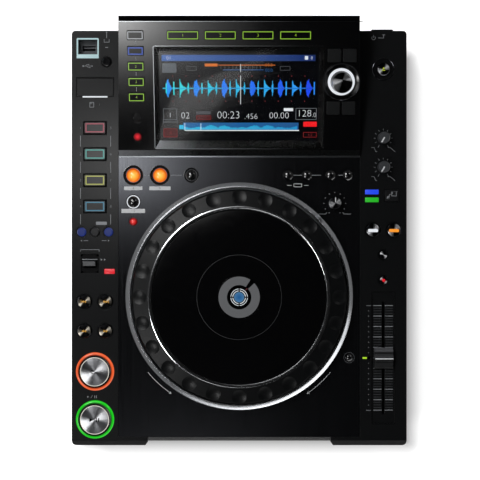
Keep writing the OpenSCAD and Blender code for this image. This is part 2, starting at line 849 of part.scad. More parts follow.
module top_case() {
    color("#232426") difference() {
        union() {
            difference() {
                translate([0, 0, tray_top]) linear_extrude(deck_z - tray_top) case_outline();
                difference() {
                    translate([-half_w - over, front_y - over, deck_z - bevel_h])
                        cube([body_w + 2 * over, deck_front + over, bevel_h + over]);
                    bevel_keep();
                }
                translate([-half_w + case_t, cavity_y, tray_top - over])
                    cube([body_w - 2 * case_t, strip_back - cavity_y + over, case_under - tray_top + over]);
                translate([-half_deck, deck_y, ledge_z])
                    cube([deck_w, strip_back - deck_y + over, body_h]);
            }
            for (x = [-1, 1]) {
                translate([x * (half_deck + (case_t - ledge_w) / 2), (cavity_y + rear_y) / 2,
                    ledge_z + ledge_h / 2])
                    cube([ledge_w + case_t, rear_y - cavity_y, ledge_h], center = true);
                translate([x * (half_deck + case_t / 2), (cavity_y + rear_y) / 2, (ledge_z + deck_z) / 2])
                    cube([case_t, rear_y - cavity_y, deck_z - ledge_z], center = true);
            }
            translate([-half_deck, deck_y - over, ledge_z]) cube([deck_w, ledge_w + over, ledge_h]);
            case_bosses();
            lever_ears();
            rear_ears();
        }
        on_deck() strip_cuts();
        on_deck() sd_pin(pin_fit);
        rod_x(lever_at, case_under - lever_drop, lever_pin_r + pin_fit, lever_w + 6);
        boss_bores();
        rear_screw_bores();
        slot_cut();
    }
}

// what the front bevel leaves: one sloping face on the corners and one on the middle
module bevel_keep() {
    intersection() {
        translate([0, 0, deck_z - bevel_h - over]) linear_extrude(bevel_h + 2 * over) case_outline();
        union() {
            for (x = [-1, 1])
                intersection() {
                    slope_block(front_y, bevel_d);
                    translate([x > 0 ? middle_w / 2 : -half_w - over, front_y - over, 0])
                        cube([half_w + over - middle_w / 2, deck_front + 2 * over, 2 * deck_z]);
                }
            intersection() {
                slope_block(middle_y, deck_front - middle_set);
                translate([-middle_w / 2, front_y - over, 0])
                    cube([middle_w, deck_front + 2 * over, 2 * deck_z]);
            }
        }
    }
}

module slope_block(y, d) {
    translate([-half_w - over, 0, 0]) rotate([90, 0, 90]) linear_extrude(body_w + 2 * over)
        polygon([
            [y, deck_z - bevel_h - over], [y, deck_z - bevel_h], [y + d, deck_z],
            [y + deck_front + 2 * over, deck_z], [y + deck_front + 2 * over, deck_z - bevel_h - over]
        ]);
}

module slot_cut() {
    translate([0, middle_y, slot_z])
        cube([slot_disc_w + 2, 4 * case_t + 6, slot_disc_h + 2], center = true);
}

module base_tray() {
    out_w = body_w - 2 * tray_in;
    tray_y = middle_y + 0.6;
    color("#3a3c3f") difference() {
        union() {
            translate([-out_w / 2, tray_y, tray_z]) cube([out_w, strip_back - tray_y, tray_t]);
            for (x = [0, 1])
                translate([-out_w / 2 + x * (out_w - tray_t), tray_y, tray_z])
                    cube([tray_t, strip_back - tray_y, tray_h]);
            translate([-out_w / 2, tray_y, tray_z]) cube([out_w, tray_t, tray_h]);
        }
        for (x = [-1, 1], y = boss_rows)
            translate([x * boss_x, front_y + y, tray_z - over])
                cylinder(r = screw_r + 0.2, h = tray_t + 2 * over);
        for (x = [-1, 1], i = [0:9])
            translate([x * half_w / 2, strip_back - 150 + i * 9, tray_z - over])
                slab(34, 3, tray_t + 2 * over, 1.4);
    }
}

module feet() {
    color("#111111") for (x = [-1, 1], y = [front_y + foot_y, strip_back - foot_y])
        translate([x * (half_w - foot_x), y, 0]) difference() {
            union() {
                cylinder(r1 = foot_r - 1, r2 = foot_r, h = 1);
                translate([0, 0, 1]) cylinder(r = foot_r, h = foot_h - 1);
            }
            translate([0, 0, -over]) cylinder(r = foot_r / 3, h = foot_h / 2 + over);
        }
}

module one_screw() {
    cylinder(r = screw_head_r, h = 2);
    translate([0, 0, 2]) cylinder(r = screw_r, h = screw_l);
}

rear_ear_x = half_w - case_t - 4;
rear_ear_z = tray_top + 9;

module rear_screw_bores() {
    for (x = [-1, 1])
        rod_y(x * rear_ear_x, rear_y - screw_l, rear_ear_z, screw_r + screw_fit, screw_l + over);
}

module screws() {
    color("#8c8f93") {
        for (x = [-1, 1], y = boss_rows)
            translate([x * boss_x, front_y + y, tray_z - 2]) one_screw();
        for (x = [-1, 1])
            translate([x * rear_ear_x, strip_back + 2, rear_ear_z]) rotate([90, 0, 0]) one_screw();
    }
}

module deck_plate() {
    plate_front = deck_y + deck_gap;
    plate_l = block_y - deck_gap - plate_front;
    color("#2b2c2e") difference() {
        translate([-half_deck + deck_gap, plate_front, deck_under])
            cube([deck_w - 2 * deck_gap, plate_l, deck_t]);
        translate([jog_at.x, jog_at.y, deck_under - over]) cylinder(r = trim_hole, h = deck_t + 2 * over);
        on_deck() {
            for (p = [loop_in_at, loop_out_at]) round_cut(p, loop_r, deck_t, loop_well_r);
            for (p = [reloop_at, beat_at, memory_at, delete_at, call_at, recall_at])
                round_cut(p, deck_key_r, deck_t, deck_well_r);
            round_cut(slip_at, slip_r, deck_t);
            round_cut(reset_at, reset_r, deck_t);
            translate([adjust_at.x, adjust_at.y, -deck_t - over])
                cylinder(r = knob_shaft_r + key_gap, h = deck_t + 2 * over);
        }
    }
}

// ---- screen block

module block_section(w) {
    rise = w == 0 ? 0 : w / cos(tilt);
    function slope(y) = slope_z + (y - slope_y) * tan(tilt) - rise;
    foot = deck_under - (w == 0 ? 0 : over);
    polygon([
        [block_y + w, foot],
        [block_y + w, w == 0 ? slope_z - 1.5 : slope(block_y + w)],
        if (w == 0) [slope_y, slope_z],
        [back_y - back_bevel - w * 0.8, slope(back_y - back_bevel - w * 0.8)],
        [back_y - w, deck_z + block_h - back_drop - w * 0.3],
        [back_y - w, deck_z + 8 + w * 0.3],
        [strip_back - w * 0.8, deck_z + overhang_h + w],
        if (w == 0) [strip_back, deck_z + overhang_h],
        [strip_back - w, deck_z + overhang_h + w],
        [strip_back - w, foot]
    ]);
}

module side_lean(side) {
    lean = atan(block_draft / block_h);
    translate([side * half_deck, 0, deck_z]) rotate([0, -side * lean, 0])
        translate([side > 0 ? 0 : -20, block_y - over, 0]) cube([20, block_d + 2 * over, 2 * block_h]);
}

module block_cuts() {
    on_slope() {
        translate([0, glass_v + glass_d / 2, -glass_t])
            slab(glass_w + 2 * deck_gap, glass_d + 2 * deck_gap, glass_t + 3, 1.5);
        translate([0, lcd_v + lcd_d / 2, -block_t - over]) slab(lcd_w, lcd_d, block_t + over, 0.5);
        for (i = [-2:2]) bar_cut(source_at + [0, i * source_pitch], source_w, source_d, block_t, key_gap);
        for (i = [-1.5:1.5]) bar_cut(menu_at + [i * menu_pitch, 0], menu_w, menu_d, block_t, key_gap);
        round_cut(time_at, time_r, block_t);
        round_cut(quantize_at, quantize_r, block_t);
        for (x = [-0.5, 0.5], v = [-1, 1])
            bar_cut(selector_at + [x * pad_pitch, v * pad_row], pad_w, pad_d, block_t, key_gap);
        translate([selector_at.x, selector_at.y, -block_t - over])
            cylinder(r = selector_shaft_r + key_gap, h = block_t + 4);
        translate([selector_at.x, selector_at.y, 0]) difference() {
            translate([0, 0, -well_h]) cylinder(r = selector_lit_r + deck_gap, h = well_h + over);
            translate([0, 0, -well_h - over]) cylinder(r = selector_r + deck_gap, h = well_h + over);
        }
    }
}

module display_housing() {
    color("#17181a") difference() {
        union() {
            difference() {
                translate([-half_deck, 0, 0]) rotate([90, 0, 90]) linear_extrude(deck_w) block_section(0);
                difference() {
                    translate([-half_deck + block_side_t, 0, 0]) rotate([90, 0, 90])
                        linear_extrude(deck_w - 2 * block_side_t) block_section(block_t);
                    for (x = [-1, 1]) translate([-x * block_side_t, 0, 0]) side_lean(x);
                }
                for (x = [-1, 1]) side_lean(x);
            }
            // foot under the deck plate's back edge
            translate([-half_deck + ledge_w + deck_gap, block_y - ledge_w, ledge_z])
                cube([deck_w - 2 * (ledge_w + deck_gap), ledge_w + block_t, ledge_h]);
            on_slope() translate([selector_at.x, selector_at.y, 0]) rotate_extrude() polygon([
                [selector_lit_r + key_gap, -over], [collar_r, -over], [collar_r, collar_h - 0.7],
                [collar_r - 0.8, collar_h], [selector_lit_r + key_gap, collar_h / 2]
            ]);
        }
        block_cuts();
    }
}

module display_glass() {
    color("#0c1220") on_slope() translate([0, glass_v + glass_d / 2, -glass_t])
        slab(glass_w, glass_d, glass_t, 1.5);
}

module display_module() {
    color("#123a6b") on_slope() translate([0, lcd_v + lcd_d / 2, -block_t - module_t - 0.01])
        slab(lcd_w + 2 * module_rim, lcd_d + 2 * module_rim, module_t, 1);
}

// ---- jog wheel

module jog_trim_ring() {
    in_r = trim_r - trim_w;
    color("#c9cbce") translate([jog_at.x, jog_at.y, deck_z]) rotate_extrude($fn = 180) polygon([
        [in_r + 0.8, -deck_t], [trim_hole - deck_gap, -deck_t], [trim_hole - deck_gap, 0], [trim_r, 0],
        [trim_r, trim_h * 0.4], [trim_r - 0.8, trim_h], [in_r + 0.8, trim_h], [in_r, trim_h - 0.8], [in_r, 0]
    ]);
}

module jog_bearing() {
    color("#77797d") translate([jog_at.x, jog_at.y, 0]) difference() {
        union() {
            translate([0, 0, carrier_z - carrier_t]) cylinder(r = carrier_r, h = carrier_t);
            translate([0, 0, carrier_z - over]) cylinder(r = spindle_r, h = spindle_top - carrier_z + over);
            translate([0, 0, carrier_z - over]) difference() {
                cylinder(r = carrier_r, h = carrier_h + over);
                cylinder(r = carrier_r - carrier_t, h = carrier_h + over + 1);
            }
        }
        translate([0, 0, carrier_z - carrier_t - over]) cylinder(r = spindle_bore, h = 2 * jog_top);
    }
}

module jog_display() {
    color("#9aa0a6") translate([jog_at.x, jog_at.y, spindle_top]) {
        cylinder(r = dial_r, h = jog_top - spindle_top - 0.3);
        translate([0, 0, -over]) cylinder(r = spindle_bore - 0.2, h = 2 * over);
    }
}

module jog_wheel() {
    ring = wheel_ring_r + jog_bevel_w;
    hub_top = spindle_top - 0.3;
    color("#1b1c1e") translate([jog_at.x, jog_at.y, 0]) difference() {
        rotate_extrude($fn = 180) polygon([
            [spindle_r + jog_fit, carrier_z + 4], [spindle_r + jog_t + 1, carrier_z + 4],
            [spindle_r + jog_t + 1, hub_top - jog_t], [dial_r + jog_t + 1, hub_top - jog_t],
            [dial_r + jog_t + 1, wheel_floor - jog_t], [jog_r - jog_t, wheel_floor - jog_t],
            [jog_r - jog_t, deck_z - 1], [jog_r, deck_z - 1], [jog_r, shoulder_z - 2.5],
            [jog_r - 1.6, shoulder_z], [ring, jog_top - 0.6], [ring, jog_top + 0.1],
            [ring - 1, jog_top + 0.4], [wheel_ring_r, jog_top - 0.3], [wheel_ring_r, wheel_floor],
            [dial_r + 0.8, wheel_floor], [dial_r + 0.8, hub_top], [spindle_r + jog_fit, hub_top]
        ]);
        for (i = [0:dimples - 1]) rotate([0, 0, i * 360 / dimples]) dimple();
    }
}

module dimple() {
    ball = (dimple_r * dimple_r + dimple_depth * dimple_depth) / (2 * dimple_depth);
    ring = wheel_ring_r + jog_bevel_w;
    fall = atan((jog_top - 0.6 - shoulder_z) / (jog_r - 1.6 - ring));
    mid_z = shoulder_z + (dimple_in - 1.6) * tan(fall);
    translate([0, jog_r - dimple_in, mid_z]) rotate([-fall, 0, 0])
        translate([0, 0, ball - dimple_depth]) intersection() {
            sphere(r = ball, $fn = 96);
            translate([0, 0, -ball]) cylinder(r = dimple_r + 2, h = 4);
        }
}

module jog_plate() {
    color("#08090a") translate([jog_at.x, jog_at.y, jog_top - plate_t]) difference() {
        union() {
            cylinder(r = plate_r, h = plate_t - 0.4);
            translate([0, 0, plate_t - 0.4]) cylinder(r1 = plate_r, r2 = plate_r - 0.4, h = 0.4);
        }
        translate([0, 0, -over]) cylinder(r = dial_r + 0.4, h = plate_t + 2 * over);
    }
}

// ---- strip keys

module play_cap(at) {
    color("#c8cacc") on_deck() round_key(at, play_r, case_t, play_proud, play_travel);
}

module play_button() { play_cap(play_at); }
module cue_button() { play_cap(cue_at); }

module key_pair(at) {
    color("#b9bbbe") on_deck() {
        for (x = [-1, 1]) round_key(at + [x * pair_pitch / 2, 0], search_r);
        key_bar(at - [pair_pitch / 2, 0], at + [pair_pitch / 2, 0], case_t);
    }
}

module track_keys() { key_pair(track_at); }
module search_keys() { key_pair(search_at); }
module sync_keys() { key_pair(sync_at); }

module hot_cue(i) { on_deck() bar_key(hot_at[i], hot_w, hot_d); }
module hot_cue_a() { color("#5a2b33") hot_cue(3); }
module hot_cue_b() { color("#2b5a57") hot_cue(2); }
module hot_cue_c() { color("#5d6132") hot_cue(1); }
module hot_cue_d() { color("#2c5361") hot_cue(0); }

module bank_keys() {
    color("#1f2022") on_deck() {
        for (x = [-1:1]) round_key(bank_at + [x * bank_pitch, 0], bank_r);
        key_bar(bank_at - [bank_pitch, 0], bank_at + [bank_pitch, 0], case_t);
    }
}

module tempo_keys() {
    color("#1f2022") on_deck() {
        for (p = [range_at, master_at]) round_key(p, bank_r);
        key_bar(master_at, range_at, case_t);
    }
}

module usb_stop_button() { color("#1f2022") on_deck() round_key(stop_at, bank_r); }
module eject_button() { color("#1f2022") on_deck() round_key(eject_at, eject_r); }
module jog_mode_button() { color("#1f2022") on_deck() bar_key(mode_at, mode_w, mode_d); }

module touch_speed_knob() { color("#26272a") on_deck() small_knob(touch_at, speed_turn); }
module release_speed_knob() { color("#26272a") on_deck() small_knob(release_at, speed_turn); }
module jog_adjust_knob() { color("#9a9da1") on_deck() small_knob(adjust_at, 0); }

module direction_lever() {
    axis_z = -case_t - lever_drop;
    color("#3c3e41") on_deck() translate([lever_at.x, lever_at.y, axis_z]) {
        rod_x([0, 0], 0, lever_t / 2, lever_w - 0.4);
        rod_x([0, 0], 0, lever_pin_r, lever_w + 4.6);
        translate([-(lever_w - 0.4) / 2, -lever_t / 2, 0])
            cube([lever_w - 0.4, lever_t, lever_h - axis_z - 1]);
        translate([-(lever_w - 0.4) / 2, 0, lever_h - axis_z - 1]) rotate([90, 0, 90])
            linear_extrude(lever_w - 0.4)
            polygon([[-lever_t / 2, 0], [lever_t / 2, 0], [lever_t / 2 - 1, 1], [-lever_t / 2 + 1, 1]]);
    }
}

module tempo_knob() {
    stem_w = slot_w - 2 * stem_gap;
    top = fader_knob_h;
    foot = -well_h + seat_gap;
    half_d = fader_knob_d / 2;
    color("#26272a") on_deck() translate([fader_at.x, fader_at.y, 0]) {
        translate([-fader_knob_w / 2, 0, 0]) rotate([90, 0, 90]) linear_extrude(fader_knob_w) polygon([
            [-half_d, foot], [half_d, foot], [half_d, 2], [half_d - 2, top - 2], [3, top - 2.6],
            [2.4, top], [-2.4, top], [-3, top - 2.6], [-half_d + 2, top - 2], [-half_d, 2]
        ]);
        translate([-stem_w / 2, -fader_stem_d / 2, -case_t - 5]) cube([stem_w, fader_stem_d, case_t + 5]);
    }
}

module fader_unit() {
    len = fader_travel + fader_stem_d + 8;
    color("#6d7073") on_deck() translate([fader_at.x, fader_at.y, -case_t - fader_unit_h]) difference() {
        translate([-fader_unit_w / 2, -len / 2, 0]) cube([fader_unit_w, len, fader_unit_h]);
        translate([-slot_w / 2 - 0.5, -len / 2 + 3, fader_unit_h - 7]) cube([slot_w + 1, len - 6, 7 + over]);
    }
}

module sd_door() {
    color("#202123") on_deck() {
        translate([sd_at.x - sd_w / 2, sd_at.y - sd_d / 2, sd_pin_z - sd_pin_r])
            cube([sd_w, sd_d - sd_pin_r, sd_t]);
        sd_pin();
    }
}

// ---- deck keys

module loop_key(at) { color("#e8781a") on_deck() dome_key(at, loop_r, loop_dome); }
module loop_in_button() { loop_key(loop_in_at); }
module loop_out_button() { loop_key(loop_out_at); }
module deck_key(at, r = deck_key_r) { color("#1a1b1d") on_deck() dome_key(at, r, deck_dome); }
module reloop_button() { deck_key(reloop_at); }
module beat_loop_button() { deck_key(beat_at); }
module slip_button() { deck_key(slip_at, slip_r); }
module delete_button() { deck_key(delete_at); }
module tempo_reset_button() { deck_key(reset_at, reset_r); }

module memory_keys() {
    color("#1a1b1d") on_deck() {
        // the bar passes behind the delete key
        back = [0, deck_key_r + flange_w + bar_w / 2 + 0.6];
        key_bar(recall_at + back, memory_at + back, deck_t);
        for (p = [memory_at, call_at, recall_at]) {
            dome_key(p, deck_key_r, deck_dome);
            key_bar(p, p + back, deck_t);
        }
    }
}

// ---- block keys

module source_keys() {
    color("#1d2a4a") on_slope() {
        for (i = [-2:2]) bar_key(source_at + [0, i * source_pitch], source_w, source_d, block_t);
        key_bar(source_at - [0, 2 * source_pitch], source_at + [0, 2 * source_pitch], block_t);
    }
}

module menu_keys() {
    color("#4f6b1c") on_slope() {
        for (i = [-1.5:1.5]) bar_key(menu_at + [i * menu_pitch, 0], menu_w, menu_d, block_t);
        key_bar(menu_at - [1.5 * menu_pitch, 0], menu_at + [1.5 * menu_pitch, 0], block_t);
    }
}

// the four pads share a C-shaped bar on the side away from the screen
module pad_keys() {
    out = pad_pitch / 2 + pad_w / 2 - bar_w / 2 - 0.5;
    color("#26272a") on_slope() {
        for (x = [-0.5, 0.5], v = [-1, 1])
            bar_key(selector_at + [x * pad_pitch, v * pad_row], pad_w, pad_d, block_t, -0.5);
        for (v = [-1, 1])
            key_bar(selector_at + [-pad_pitch / 2, v * pad_row],
                selector_at + [pad_pitch / 2, v * pad_row], block_t);
        key_bar(selector_at + [out, -pad_row], selector_at + [out, pad_row], block_t);
    }
}

module time_mode_button() { color("#1a1b1d") on_slope() round_key(time_at, time_r, block_t); }
module quantize_button() {
    color("#5e1a16") on_slope() round_key(quantize_at, quantize_r, block_t);
}

selector_foot = -block_t - board_drop + switch_h + selector_push + travel_gap;
selector_top = selector_push + seat_gap + selector_h;

module selector_shaft() {
    color("#a8abae") on_slope() translate([selector_at.x, selector_at.y, 0]) {
        translate([0, 0, selector_foot]) cylinder(r = selector_shaft_r, h = selector_top - 4 - selector_foot);
        translate([0, 0, -block_t - flange_drop]) cylinder(r = selector_shaft_r + 2, h = flange_t);
        translate([0, 0, selector_top - 4]) cylinder(r = selector_shaft_r - 1, h = 2.6);
    }
}

module selector_knob() {
    color("#c3c5c8") on_slope() translate([selector_at.x, selector_at.y, selector_push + seat_gap])
        difference() {
        union() {
            cylinder(r = selector_r, h = 3);
            translate([0, 0, 3]) cylinder(r1 = selector_r, r2 = selector_top_r + 0.4, h = selector_h - 4);
            translate([0, 0, selector_h - 1])
                cylinder(r1 = selector_top_r + 0.4, r2 = selector_top_r - 0.4, h = 1);
        }
        translate([0, 0, -over])
            cylinder(r = selector_shaft_r + selector_fit, h = selector_h - 4 + over + 0.3);
        translate([0, 0, selector_h - 5]) cylinder(r = selector_shaft_r - 1 + 0.3, h = 4);
    }
}

// ---- lenses

module lit_ring(at, in_r, out_r, top) {
    translate([at.x, at.y, -well_h]) difference() {
        union() {
            cylinder(r = out_r, h = well_h + top - 0.4);
            translate([0, 0, well_h + top - 0.4]) cylinder(r1 = out_r, r2 = out_r - 0.4, h = 0.4);
        }
        translate([0, 0, -over]) cylinder(r = in_r, h = well_h + top + 2 * over);
    }
}

module lamp(at, w, d) {
    translate([at.x, at.y, -well_h]) slab(w - 2 * deck_gap, d - 2 * deck_gap, well_h + lamp_proud, 0.5);
    translate([at.x, at.y, -case_t])
        slab(w - 2 * flange_w - 2 * deck_gap, d - 2 * flange_w - 2 * deck_gap, case_t, 0.4);
}

module lamp_lenses() {
    color("#e9f2ee") {
        on_deck() {
            for (p = [play_at, cue_at])
                lit_ring(p, play_r + key_gap + play_ring_gap, play_ring_r, 1.6);
            lamp(rev_at, rev_w, rev_d);
            for (i = [0, 1]) lamp(lamp_at - [0, i * lamp_pitch], lamp_w, lamp_d);
            translate([fader_lamp_x, fader_at.y, -case_t])
                cylinder(r = fader_lamp_r - 0.05, h = case_t + 0.5);
            translate([usb_at.x, usb_at.y, -well_h]) difference() {
                slab(usb_w + 2 * (usb_frame - deck_gap),
                    usb_d + 2 * (usb_frame - deck_gap), well_h + lamp_proud, 1);
                translate([0, 0, -over]) slab(usb_w, usb_d, well_h + lamp_proud + 2 * over);
            }
        }
        on_slope() lit_ring(selector_at, selector_r + deck_gap + 0.1, selector_lit_r, 0.4);
    }
}

// ---- media sockets: a liner below each opening, with its socket at the bottom

module liner(at, w, d, h) {
    translate([at.x, at.y, -case_t - h]) difference() {
        slab(w + 2, d + 2, h);
        translate([0, 0, -over]) slab(w, d, h + 2 * over);
    }
}

module media_sockets() {
    sd_in_w = sd_w - 2 * sd_rim;
    sd_in_d = sd_d - 2 * sd_rim;
    drop = media_well - case_t;
    color("#b4b7ba") on_deck() {
        liner(usb_at, usb_w, usb_d, drop);
        liner(sd_at, sd_in_w, sd_in_d, drop);
        translate([usb_at.x, usb_at.y, -case_t - drop - 14]) difference() {
            slab(usb_w + 2, usb_d + 2, 14);
            translate([0, 0, 2]) slab(12.5, 5.1, 14, 0.4);
        }
        translate([usb_at.x, usb_at.y + 1.2, -case_t - drop - 8.5]) cube([11.4, 1.9, 11], center = true);
        translate([sd_at.x, sd_at.y, -case_t - drop - 14]) difference() {
            slab(sd_in_w + 2, sd_in_d + 2, 14);
            translate([0, 0, 2]) slab(24.4, 2.6, 14, 0.4);
        }
    }
}

// ---- inside

transport_switches = [play_at, cue_at,
    for (p = [search_at, track_at], x = [-0.5, 0.5]) p + [x * pair_pitch, 0]];
cue_switches = [for (x = [-1:1]) bank_at + [x * bank_pitch, 0], each hot_at, stop_at];
strip_switches_right = [
    eject_at, mode_at, sync_at - [pair_pitch / 2, 0], sync_at + [pair_pitch / 2, 0],
    range_at, master_at, touch_at, release_at
];
deck_switches_left = [loop_in_at, loop_out_at, reloop_at, beat_at, slip_at];
deck_switches_right = [memory_at, delete_at, call_at, recall_at, adjust_at];

module strip_board(side, from, to, posts, switches, holes = []) {
    w = half_w - half_deck - 2 * case_t - 2.6;
    key_board(case_t, [for (y = posts) [side * strip_x, y]]) difference() {
        translate([side * strip_x, (from + to) / 2]) square([w, to - from], center = true);
        for (h = holes) translate([h[0], h[1]]) square([h[2] + 4, h[3] + 4], center = true);
    }
    translate([0, 0, -case_t - board_drop]) for (p = switches) switch(p);
}

module deck_board(side, switches, foot) {
    inner = side < 0 ? reloop_at.x + 9 : recall_at.x - 9;
    outer = side * (half_deck - ledge_w - 1);
    back = block_y - ledge_w - 1.4;
    stand_at = [side * (half_deck - ledge_w - 4.2), (beat_at.y + loop_in_at.y) / 2];
    key_board(deck_t, [stand_at, [inner + side * 3.5, back - 3.5]])
        difference() {
            translate([(inner + outer) / 2, (foot + back) / 2])
                square([abs(outer - inner), back - foot], center = true);
            translate(jog_at) circle(r = carrier_r + 1);
        }
    translate([0, 0, -deck_t - board_drop]) for (p = switches) switch(p);
}

module circuit_boards() {
    color("#1f5a34") {
        on_deck() {
            strip_board(-1, front_y + 10, lever_at.y - lever_well_d / 2 - 2,
                [(play_at.y + cue_at.y) / 2, track_at.y + 13], transport_switches);
            strip_board(-1, bank_at.y - 8, strip_back - 9,
                [(bank_at.y + hot_at[0].y - 2) / 2, (hot_at[3].y + sd_at.y - 4) / 2], cue_switches,
                [[usb_at.x, usb_at.y, usb_w + 2, usb_d + 2], [sd_at.x, sd_at.y, sd_w, sd_d]]);
            strip_board(1, fader_at.y + fader_d / 2 + 2, strip_back - 24,
                [(sync_at.y + mode_at.y) / 2 - 1.5, (touch_at.y + eject_at.y) / 2], strip_switches_right);
            deck_board(-1, deck_switches_left, slip_at.y - 6);
            deck_board(1, deck_switches_right, adjust_at.y - 6);
            // tempo-reset board
            key_board(deck_t, [[reset_at.x, reset_at.y - 9]])
                translate([reset_at.x, reset_at.y - 3]) square([8, 19], center = true);
            translate([0, 0, -deck_t - board_drop]) switch(reset_at);
        }
        slope_boards();
        main_board();
    }
}

module slope_boards() {
    on_slope() {
        slope_board(-source_x, quantize_v - 6, top_row + 10, [(quantize_v + time_v) / 2, top_row + 8], [
            quantize_at, time_at, for (i = [-2:2]) source_at + [0, i * source_pitch]]);
        slope_board(selector_x, selector_v - pad_row - 12, selector_v + pad_row + 12,
            [selector_v - pad_row - 10, selector_v + pad_row + 10], [
            for (x = [-0.5, 0.5], v = [-1, 1]) selector_at + [x * pad_pitch, v * pad_row], selector_at]);
    }
}

// a key board under the slope, carried by spacers at its ends
module slope_board(x, from, to, posts, switches) {
    key_board(block_t, [for (v = posts) [x, v]], 1.8)
        translate([x, (from + to) / 2]) square([pad_pitch + switch_w + 0.6, to - from], center = true);
    translate([0, 0, -block_t - board_drop]) for (p = switches) switch(p);
}

main_board_z = tray_z + tray_t + 8;

module main_board() {
    board_w = 114;
    board_d = 120;
    left_x = audio_x + 6 - board_w;
    translate([left_x, rear_y - board_d, main_board_z]) cube([board_w, board_d - 1, board_t]);
    for (x = [left_x + 6, audio_x + 1], y = [rear_y - 8, rear_y - board_d + 8])
        translate([x, y, floor_z]) cylinder(r = 2.5, h = main_board_z - floor_z);
    for (x = [0:3])
        translate([left_x + 12 + x * 22, rear_y - 92, main_board_z + board_t]) cube([14, 14, 3]);
}

module power_supply() {
    ps_w = 84;
    ps_d = 110;
    left_x = -half_w + 54;
    ps_y = rear_y - ps_d - 4;
    top = main_board_z + board_t;
    color("#8a7a3c") {
        translate([left_x, ps_y, main_board_z]) cube([ps_w, ps_d, board_t]);
        for (x = [6, ps_w - 6], y = [6, ps_d - 6])
            translate([left_x + x, ps_y + y, floor_z]) cylinder(r = 3, h = main_board_z - floor_z);
        translate([left_x + 26, ps_y + 36, top]) cube([30, 34, 24]);
        for (y = [0, 1]) translate([left_x + 12, ps_y + 22 + y * 24, top]) cylinder(r = 8, h = 26);
        translate([left_x + 64, ps_y + 16, top]) cube([3, 70, 26]);
    }
}

module drive_frame() {
    far = drive_front + drive_d;
    color("#8e9195") difference() {
        union() {
            translate([-drive_w / 2, drive_front, drive_z]) difference() {
                cube([drive_w, drive_d, drive_h]);
                translate([drive_t, -over, drive_t])
                    cube([drive_w - 2 * drive_t, drive_d - drive_t + over, drive_h - 2 * drive_t]);
            }
            for (x = [-1, 1], y = [drive_front + 14, far - 14])
                translate([x * (drive_w / 2 - 8), y, floor_z]) cylinder(r = 4, h = drive_z - floor_z);
            // motor can under the turntable, and the sled's rails
            translate([turn_at.x, turn_at.y, drive_z - 6]) cylinder(r = 11, h = 7 + drive_t);
            for (x = [-1, 1])
                rod_y(x * rail_x, rail_y, rail_z, rail_r, far - rail_y - drive_t / 2);
        }
        translate([turn_at.x, turn_at.y, drive_z - 4]) cylinder(r = motor_r + motor_fit, h = 12 + drive_t);
    }
}

module turntable() {
    color("#2a2b2d") translate([turn_at.x, turn_at.y, 0]) {
        translate([0, 0, drive_z - 3]) cylinder(r = motor_r, h = disc_z - 2 - drive_z + 3);
        translate([0, 0, disc_z - 3]) cylinder(r = turn_r, h = 2);
        translate([0, 0, disc_z - 1]) cylinder(r1 = hub_r, r2 = hub_r - 1, h = 3);
        translate([0, 0, drive_z + drive_t + 1 + seat_gap])
            cylinder(r = 5, h = disc_z - 2 - drive_z - drive_t - 1 - seat_gap);
    }
}

module pickup_sled() {
    sled_y = turn_at.y + turn_r + 5;
    z = drive_z + drive_t + 0.3;
    color("#56585c") translate([0, sled_y, z]) {
        difference() {
            translate([-sled_w / 2, 0, 0]) cube([sled_w, sled_d, sled_h]);
            for (x = [-1, 1]) rod_y(x * rail_x, -over, rail_z - z, rail_r + motor_fit, sled_d + 2 * over);
        }
        translate([0, 8, sled_h]) cylinder(r = 3.5, h = 1.5);
    }
}

module slot_bezel() {
    color("#0f1011") difference() {
        translate([0, middle_y - bezel_t / 2, slot_z])
            cube([slot_disc_w + 14, bezel_t, slot_disc_h + 10], center = true);
        translate([0, middle_y, slot_z]) cube([slot_disc_w, 3 * bezel_t, slot_disc_h], center = true);
    }
}

// ---- rear

socket_at = tray_z + socket_z;
power_at = [strip_x, deck_z - 13];
rear_left = half_w - case_t - deck_gap;
rca_x = [audio_x, audio_x - rca_pitch, audio_x - 2 * rca_pitch];
rca_step = 0.2;

module rear_panel() {
    color("#2e3033") difference() {
        union() {
            translate([-half_w + tray_in + tray_t + deck_gap, rear_y, floor_z])
                cube([body_w - 2 * (tray_in + tray_t + deck_gap), rear_t, tray_top - floor_z]);
            translate([-rear_left, rear_y, tray_top])
                cube([2 * rear_left, rear_t, ledge_z - tray_top - deck_gap]);
        }
        for (x = rca_x) rod_y(x, rear_y - over, socket_at, rca_r + rca_step + 0.1, rear_t + 2 * over);
        rod_y(jack_x, rear_y - over, socket_at, 3.3, rear_t + 2 * over);
        translate([lan_x, rear_y, socket_at]) cube([16.4, 6, 13.9], center = true);
        translate([device_x, rear_y, socket_at]) cube([12.4, 6, 11.4], center = true);
        translate([inlet_x, rear_y, socket_at + 2]) cube([24.4, 6, 19.4], center = true);
        translate([power_at.x, rear_y, power_at.y])
            cube([power_w + 2 * key_gap, 6, power_h + 2 * key_gap], center = true);
        for (x = [-1, 1]) rod_y(x * rear_ear_x, rear_y - over, rear_ear_z, screw_r + 0.2, rear_t + 2 * over);
    }
}

